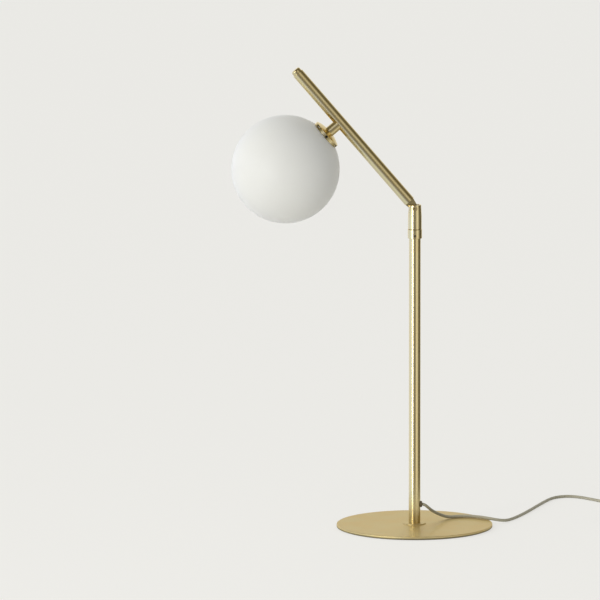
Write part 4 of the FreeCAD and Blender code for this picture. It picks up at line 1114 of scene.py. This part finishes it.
@dataclass
class Lead:
    """The cord with its switch and plug.

    The frame's objects are given by name. A rib is a radius and a height of the strain relief,
    and rib_step what each rib adds to both.
    """

    nodes: dict[str, bpy.types.Object]
    diameter: float = 3.3
    plate_up: float = 5.6
    floor_up: float = 1.7
    switch_x: float = 240.0
    switch_y: float = 45.0
    switch_half: float = 30.0
    switch_up: float = 7.0
    coil_pitch: float = 4.3
    coil_mean: float = 43.0
    half_turns: int = 9
    coil_steps: int = 9
    coil_y: float = -45.0
    coil_aside: float = 1.5
    run_length: float = 0.440
    tail_length: float = 1.314
    shell_half: float = 12.0
    shell_seam: float = 8.4
    shell_gap: float = 0.15
    shell_top: float = 16.4
    shell_wall: float = 1.8
    shell_corner: float = 5.0
    cord_way: float = 1.75
    window: Ring = (5.3, 8.8)
    grip_radius: float = 0.35
    grip_half: float = 7.0
    grip_start: float = 15.0
    grip_pitch: float = 2.2
    rocker_low: Point = (-5.0, -8.0, -2.4)
    rocker_high: Point = (5.0, 8.0, 6.2)
    rocker_bend: float = 18.4
    rocker_dip: float = 4.6
    rocker_up: float = 13.0
    rocker_tilt: float = 8.0
    boot: float = 14.0
    boot_radius: float = 3.65
    plug_length: float = 36.0
    plug_half: float = 4.8
    plug_wide: tuple[float, float, float] = (9.0, 23.4, 26.0)
    rib: Ring = (2.45, 1.4)
    rib_step: Ring = (0.28, 3.2)
    rib_shape: tuple[Ring, ...] = ((0.0, 0.0), (-0.55, 0.3), (-0.45, 1.1), (0.1, 1.4))

    def free_route(self) -> list[Point]:
        """The route from the bushing to the switch, in millimetres."""
        plate, floor = self.plate_up, self.floor_up
        back = self.switch_y + self.switch_half
        return [
            (8.5, 0.0, 25.9), (11.6, 0.5, 25.0), (14.9, 3.4, 21.6), (19.2, 8.6, 17.2), (24.4, 15.6, 13.1),
            (30.2, 23.2, 9.2), (37.6, 30.4, plate + 0.2), (47.2, 36.4, plate), (57.6, 38.4, plate + 0.1),
            (67.4, 35.0, plate + 0.2), (76.0, 28.0, plate + 0.4), (84.8, 21.6, plate), (93.8, 20.9, 4.0),
            (101.8, 27.6, 2.4), (108.2, 40.2, floor + 0.1), (115.4, 57.0, floor), (125.2, 84.4, floor),
            (137.0, 122.9, floor), (147.6, 156.8, floor), (154.6, 175.0, floor), (163.4, 186.0, floor),
            (175.2, 189.0, floor), (187.2, 182.4, floor), (200.8, 167.2, floor), (215.4, 150.2, floor),
            (228.4, 130.6, floor + 0.1), (236.4, 110.4, floor + 1.4), (self.switch_x, back + 18.0, 6.4),
            (self.switch_x, back, self.switch_up),
        ]

    def link_route(self) -> list[Point]:
        """The route from the switch down to the coil, in millimetres."""
        front, floor = self.switch_y - self.switch_half, self.floor_up
        aside, start = self.switch_x + self.coil_aside, self.coil_y + self.diameter
        return [(self.switch_x, front, self.switch_up), (self.switch_x, front - 9.0, 6.6),
                (self.switch_x + 0.4, front - 21.0, 4.4), (aside - 0.3, front - 34.0, floor + 0.4),
                (aside, start + 10.0, floor), (aside, start, floor)]

    def coil_route(self) -> tuple[list[Point], Point]:
        """Control points of the put-away coil, and its end: wound in on the floor and out again above.

        Returns:
            The points and the end, in millimetres.
        """
        steps, pitch = self.coil_steps, self.coil_pitch
        swell = 1.0 / math.cos(math.pi / steps / 2)
        outer = self.coil_mean / 2 + pitch * (self.half_turns - 1) / 4
        radii = [outer - pitch / 2 * number for number in range(self.half_turns)]
        upper = self.floor_up + pitch
        winding = [(radius, self.floor_up, 0.0) for radius in radii]
        winding += [(radii[-1] - pitch / 2, self.floor_up, pitch)]
        winding += [(radius, upper, 0.0) for radius in reversed(radii)]
        spot, way = self.switch_x + self.coil_aside, -1.0
        points = []
        for radius, height, rise in winding:
            centre, wide = spot - way * radius, way * radius * swell
            for step in range(steps):
                part = (step + 0.5) / steps
                angle = math.pi * part
                points.append((centre + wide * math.cos(angle), self.coil_y + wide * math.sin(angle),
                               height + rise * part))
            spot -= way * 2 * radius
            way = -way
        return points, (spot, self.coil_y + way * self.diameter, upper)

    def spline(self, name: str, points: Sequence[Point]) -> bpy.types.Object:
        """A cord as one smooth spline with a round bevel.

        Args:
            name: the piece's name.
            points: its control points in millimetres.

        Returns:
            The curve.
        """
        curve = bpy.data.curves.new(name, "CURVE")
        curve.dimensions = "3D"
        line = curve.splines.new("NURBS")
        line.points.add(len(points) - 1)
        for knot, point in zip(line.points, points):
            knot.co = (*[amount * MM for amount in point], 1.0)
        line.order_u = 3
        line.use_endpoint_u = True
        line.resolution_u = 6
        curve.bevel_depth = self.diameter / 2 * MM
        curve.bevel_resolution = 5
        curve.use_fill_caps = True
        cord = bpy.data.objects.new(name, curve)
        bpy.context.scene.collection.objects.link(cord)
        return cord

    def build(self) -> None:
        """Model both runs of cord, the switch and the plug."""
        switch = self.switch()
        run = self.spline("cord_run", self.free_route())
        finish_piece(run, CORD, Body.STAND, "cord_free")
        turns, end = self.coil_route()
        plug = self.plug(end)
        tail = self.spline("cord_tail", self.link_route() + turns + [end])
        finish_piece(tail, CORD, Body.STAND, "cord_link", "cord_coil")

    def shell(self, name: str, span: Ring, hollow: Ring, rim: Callable[[float, float], bool],
              rim_round: tuple[float, int]) -> bpy.types.Object:
        """Model one hollow half of the switch.

        Args:
            name: the piece's name.
            span: its lowest and highest height.
            hollow: the lowest and highest height of its hollow.
            rim: the test for the edges round its outer face.
            rim_round: the rounding of those edges, and its steps.

        Returns:
            The shell.
        """
        across, along, wall = self.shell_half, self.switch_half, self.shell_wall
        shell = Bench.block(name, (-across, -along, span[0]), (across, along, span[1]))
        Bench.round_edges(shell, upright, self.shell_corner, 6)
        Bench.round_edges(shell, rim, *rim_round)
        Bench.cut(shell, Bench.block("switch_hollow", (wall - across, wall - along, hollow[0]),
                                     (across - wall, along - wall, hollow[1])))
        return shell

    def switch(self) -> list[bpy.types.Object]:
        """Model the inline switch: two shells and a rocker.

        Returns:
            The pieces that lie on the cord.
        """
        seam, gap, top, wall = self.shell_seam, self.shell_gap, self.shell_top, self.shell_wall
        lower = self.shell("switch_lower", (0.0, seam - gap), (wall, seam + OVER),
                           lambda one, other: max(one, other) < NEAR, (0.8, 3))
        upper = self.shell("switch_upper", (seam + gap, top), (seam - OVER, top - wall),
                           lambda one, other: min(one, other) > top - NEAR, (3.0, 6))
        across, along = self.window
        Bench.cut(upper, Bench.block("switch_window", (-across, -along, seam), (across, along, top + OVER)))
        for number in range(5):
            for way in (-1.0, 1.0):
                middle = way * (self.grip_start + self.grip_pitch * number)
                Bench.cut(upper, Bench.rod("grip_groove", self.grip_radius,
                                           (-self.grip_half, middle, top + NEAR),
                                           (self.grip_half, middle, top + NEAR), 12))
        for shell, node in ((lower, "switch_base"), (upper, "switch_cover")):
            Bench.cut(shell, Bench.rod("cord_way", self.cord_way, (0.0, -40.0, self.switch_up),
                                       (0.0, 40.0, self.switch_up), 32))
            complete(shell, DARK, Body.STAND, node, frame=at((self.switch_x, self.switch_y, 0.0)))

        rocker = Bench.block("rocker", self.rocker_low, self.rocker_high)
        bend = self.rocker_dip + self.rocker_bend
        Bench.cut(rocker, Bench.rod("rocker_hollow", self.rocker_bend, (-OUTSIDE, 0.0, bend),
                                    (OUTSIDE, 0.0, bend), 96))
        Bench.round_edges(rocker, upright, 0.7, 3)
        Bench.bevel(rocker, 0.3, 2, 40.0)
        middle = at((self.switch_x, self.switch_y, self.rocker_up))
        complete(rocker, DARK, Body.ROCKER, "switch_rocker",
                 frame=middle @ turned_by(self.rocker_tilt, "X"))
        return [lower, upper, rocker, self.nodes["switch_screws"]]

    def plug(self, end: Point) -> list[bpy.types.Object]:
        """Model the plug body with its ribbed strain relief.

        Args:
            end: where the cord enters it, in millimetres.

        Returns:
            The pieces that lie on the cord.
        """
        boot, waist, half = self.boot, self.boot + self.plug_length / 3, self.plug_half
        narrow, mid, wide = self.plug_wide
        body = Bench.block("plug", (-narrow / 2, boot, -half), (narrow / 2, waist, half))
        Bench.grow_end(body, waist, (mid / narrow, 1.25))
        Bench.grow_end(body, waist, (wide / mid, 1.0), boot + self.plug_length)
        Bench.bevel(body, 2.2, 4, 20.0)
        complete(body, DARK, Body.STAND, "plug_body", frame=at(end), angle=50.0)

        rings = [(0.0, -0.2), (2.3, -0.2)]
        for number in range(4):
            radius, height = (first + step * number for first, step in zip(self.rib, self.rib_step))
            rings += [(radius + out, height + up) for out, up in self.rib_shape]
        rings += [(self.boot_radius, boot + 1.0), (0.0, boot + 1.0)]
        relief = Bench.turned("plug_relief", rings, 48, closed=False)
        complete(relief, DARK, Body.STAND, frame=at(end) @ turned_by(-90.0, "X"), angle=40.0)
        return [body, relief, self.nodes["plug_pins"]]


# ---------------------------------------------------------------- studio


def light_tone(grey: float, blue: float) -> Point:
    """A light's colour from its brightness and how blue it is against its red."""
    return (grey, grey * blue ** 0.22, grey * blue)


@dataclass
class Studio:
    """Pale seamless floor, a soft box on the left, dim fill on the right, and the camera.

    Each of the bands, fill and mirror, is an angle round the lamp with the grey and the blue
    of the room there. A step is an edge and its softness, for Sock.above.
    """

    backdrop: Point = (0.831, 0.823, 0.791)
    floor_size: float = 30.0
    floor_glow: Point = (0.915, 0.906, 0.867)
    floor_colour: Point = (0.95, 0.944, 0.92)
    floor_patch: float = 0.99
    glow_share: float = 0.68
    clear_step: Ring = (0.20, 0.12)
    key_tone: Point = (1.0, 0.975, 0.91)
    key_azimuth: float = math.radians(-42.0)
    key_distance: float = 2.4
    key_height: float = 0.34
    key_aim: float = 0.3
    key_size: Ring = (0.46, 1.7)
    key_watts: float = 17.5
    room_strength: float = 1.3
    ceiling: Point = (0.36, 0.36, 0.35)
    ceiling_step: Ring = (0.72, 0.6)
    below: Ring = (0.22, 0.9)
    below_share: float = 0.32
    below_step: Ring = (-0.42, 0.4)
    high_front: Ring = (0.10, 0.55)
    high_back: Ring = (0.54, 1.0)
    high_step: Ring = (0.38, 0.44)
    back_step: Ring = (0.55, 0.6)
    aim: Point = (-0.12722, 0.0, 0.25542)
    distance: float = 20.0
    pitch: float = math.radians(9.27)
    sensor: float = 36.0
    view_width: float = 665.2
    clip: float = 200.0
    fill: tuple[Point, ...] = (
        (-180.0, 0.80, 1.0), (-150.0, 0.95, 1.0), (-75.0, 1.0, 1.04), (-40.0, 1.0, 1.04), (0.0, 0.50, 1.0),
        (40.0, 0.47, 0.98), (84.0, 0.22, 0.95), (125.0, 0.18, 0.95), (150.0, 0.40, 1.0), (180.0, 0.80, 1.0))
    mirror: tuple[Point, ...] = (
        (-180.0, 0.77, 1.0), (-150.0, 0.74, 1.30), (-110.0, 0.59, 2.05), (-75.0, 0.60, 2.0),
        (-55.0, 0.88, 2.0), (-28.0, 0.56, 1.8), (-16.0, 0.15, 1.1), (6.0, 0.13, 0.8), (22.0, 0.36, 0.9),
        (36.0, 0.80, 1.05), (50.0, 0.74, 1.05), (66.0, 0.36, 0.9), (84.0, 0.05, 0.55),
        (125.0, 0.06, 0.6), (150.0, 0.60, 0.95), (180.0, 0.77, 1.0))

    def build(self) -> None:
        """Set up floor, light and camera."""
        self.floor()
        self.world()
        self.key_light()
        self.camera()
        bpy.context.scene.view_settings.view_transform = "Standard"

    def floor(self) -> None:
        """Lay the pale floor; far off, metal sees the studio through it."""
        Bench.clear()
        bpy.ops.mesh.primitive_plane_add(size=self.floor_size, location=(0.0, 0.0, 0.0))
        floor = bpy.context.object
        floor.name = "studio_floor"
        material = bpy.data.materials.new("floor_paper")
        material.use_nodes = True
        paint = Paint(material.node_tree)
        tone = paint.mix(paint.noise(paint.place(), 3.0), self.floor_colour,
                         shaded(self.floor_colour, self.floor_patch))
        paper = paint.node("ShaderNodeBsdfDiffuse", {"Color": tone})
        glow = paint.node("ShaderNodeEmission", {"Color": rgba(self.floor_glow), "Strength": 1.0})
        seen = paint.mix_shader(paint.ray("Is Camera Ray") * self.glow_share, paper, glow)
        east, north, _ = paint.split(paint.place())
        reach = (east * east + north * north) ** 0.5
        far = reach.above(*self.clear_step) * paint.ray("Is Glossy Ray")
        paint.surface(paint.mix_shader(far, seen, paint.node("ShaderNodeBsdfTransparent")))
        floor.data.materials.append(material)

    def world(self) -> None:
        """Light the room: pale on the left and behind, dim on the right."""
        world = bpy.data.worlds.new("studio_room")
        bpy.context.scene.world = world
        world.use_nodes = True
        paint = Paint(world.node_tree)
        east, north, up = paint.split(paint.place("Generated"))
        turn = east.atan2(-north) / (2 * math.pi) + 0.5
        fill, mirror = (paint.ramp(turn, [(angle / 360.0 + 0.5, light_tone(grey, blue))
                                          for angle, grey, blue in bands])
                        for bands in (self.fill, self.mirror))
        fill = paint.mix(up.above(*self.ceiling_step), fill, self.ceiling)
        low = up.above(*self.below_step).spread(self.below_share, 0.0)
        mirror = paint.mix(low, mirror, light_tone(*self.below))
        high = paint.mix(north.above(*self.back_step), light_tone(*self.high_front),
                         light_tone(*self.high_back))
        mirror = paint.mix(up.above(*self.high_step), mirror, high)
        room = paint.mix(paint.ray("Is Glossy Ray"), fill, mirror)
        lit = paint.node("ShaderNodeBackground", {"Color": room, "Strength": self.room_strength})
        seen = paint.node("ShaderNodeBackground", {"Color": rgba(self.backdrop), "Strength": 1.0})
        paint.surface(paint.mix_shader(paint.ray("Is Camera Ray"), lit, seen), "ShaderNodeOutputWorld")

    def key_light(self) -> None:
        """Hang the tall soft box on the left, facing the lamp."""
        light = bpy.data.lights.new("key_softbox", "AREA")
        light.shape = "RECTANGLE"
        light.size, light.size_y = self.key_size
        light.energy = self.key_watts
        light.color = self.key_tone
        lamp = bpy.data.objects.new("key_softbox", light)
        spot = Vector((math.sin(self.key_azimuth) * self.key_distance,
                       -math.cos(self.key_azimuth) * self.key_distance, self.key_height))
        lamp.location = spot
        lamp.rotation_euler = (Vector((0.0, 0.0, self.key_aim)) - spot).to_track_quat("-Z", "Y").to_euler()
        bpy.context.scene.collection.objects.link(lamp)

    def camera(self) -> None:
        """Stand the camera far off with a long lens, a little above the lamp."""
        data = bpy.data.cameras.new("view")
        data.sensor_width = self.sensor
        data.lens = self.sensor * self.distance / (self.view_width * MM)
        data.clip_end = self.clip
        camera = bpy.data.objects.new("view", data)
        way = Vector((0.0, math.cos(self.pitch), -math.sin(self.pitch)))
        camera.location = Vector(self.aim) - way * self.distance
        camera.rotation_euler = way.to_track_quat("-Z", "Y").to_euler()
        bpy.context.scene.collection.objects.link(camera)
        bpy.context.scene.camera = camera


def main() -> None:
    logging.basicConfig(level=logging.INFO, format="%(name)s: %(message)s")
    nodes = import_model()["nodes"]
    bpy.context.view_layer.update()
    for sub_assembly in (Foot(), Post(), Knuckle(), Arm(), GlobeHead(), Lead(nodes)):
        sub_assembly.build()
    for finish, carried in CARRIED:
        for name in carried:
            wear(nodes[name], finish)
    Studio().build()


if __name__ == "__main__":
    main()
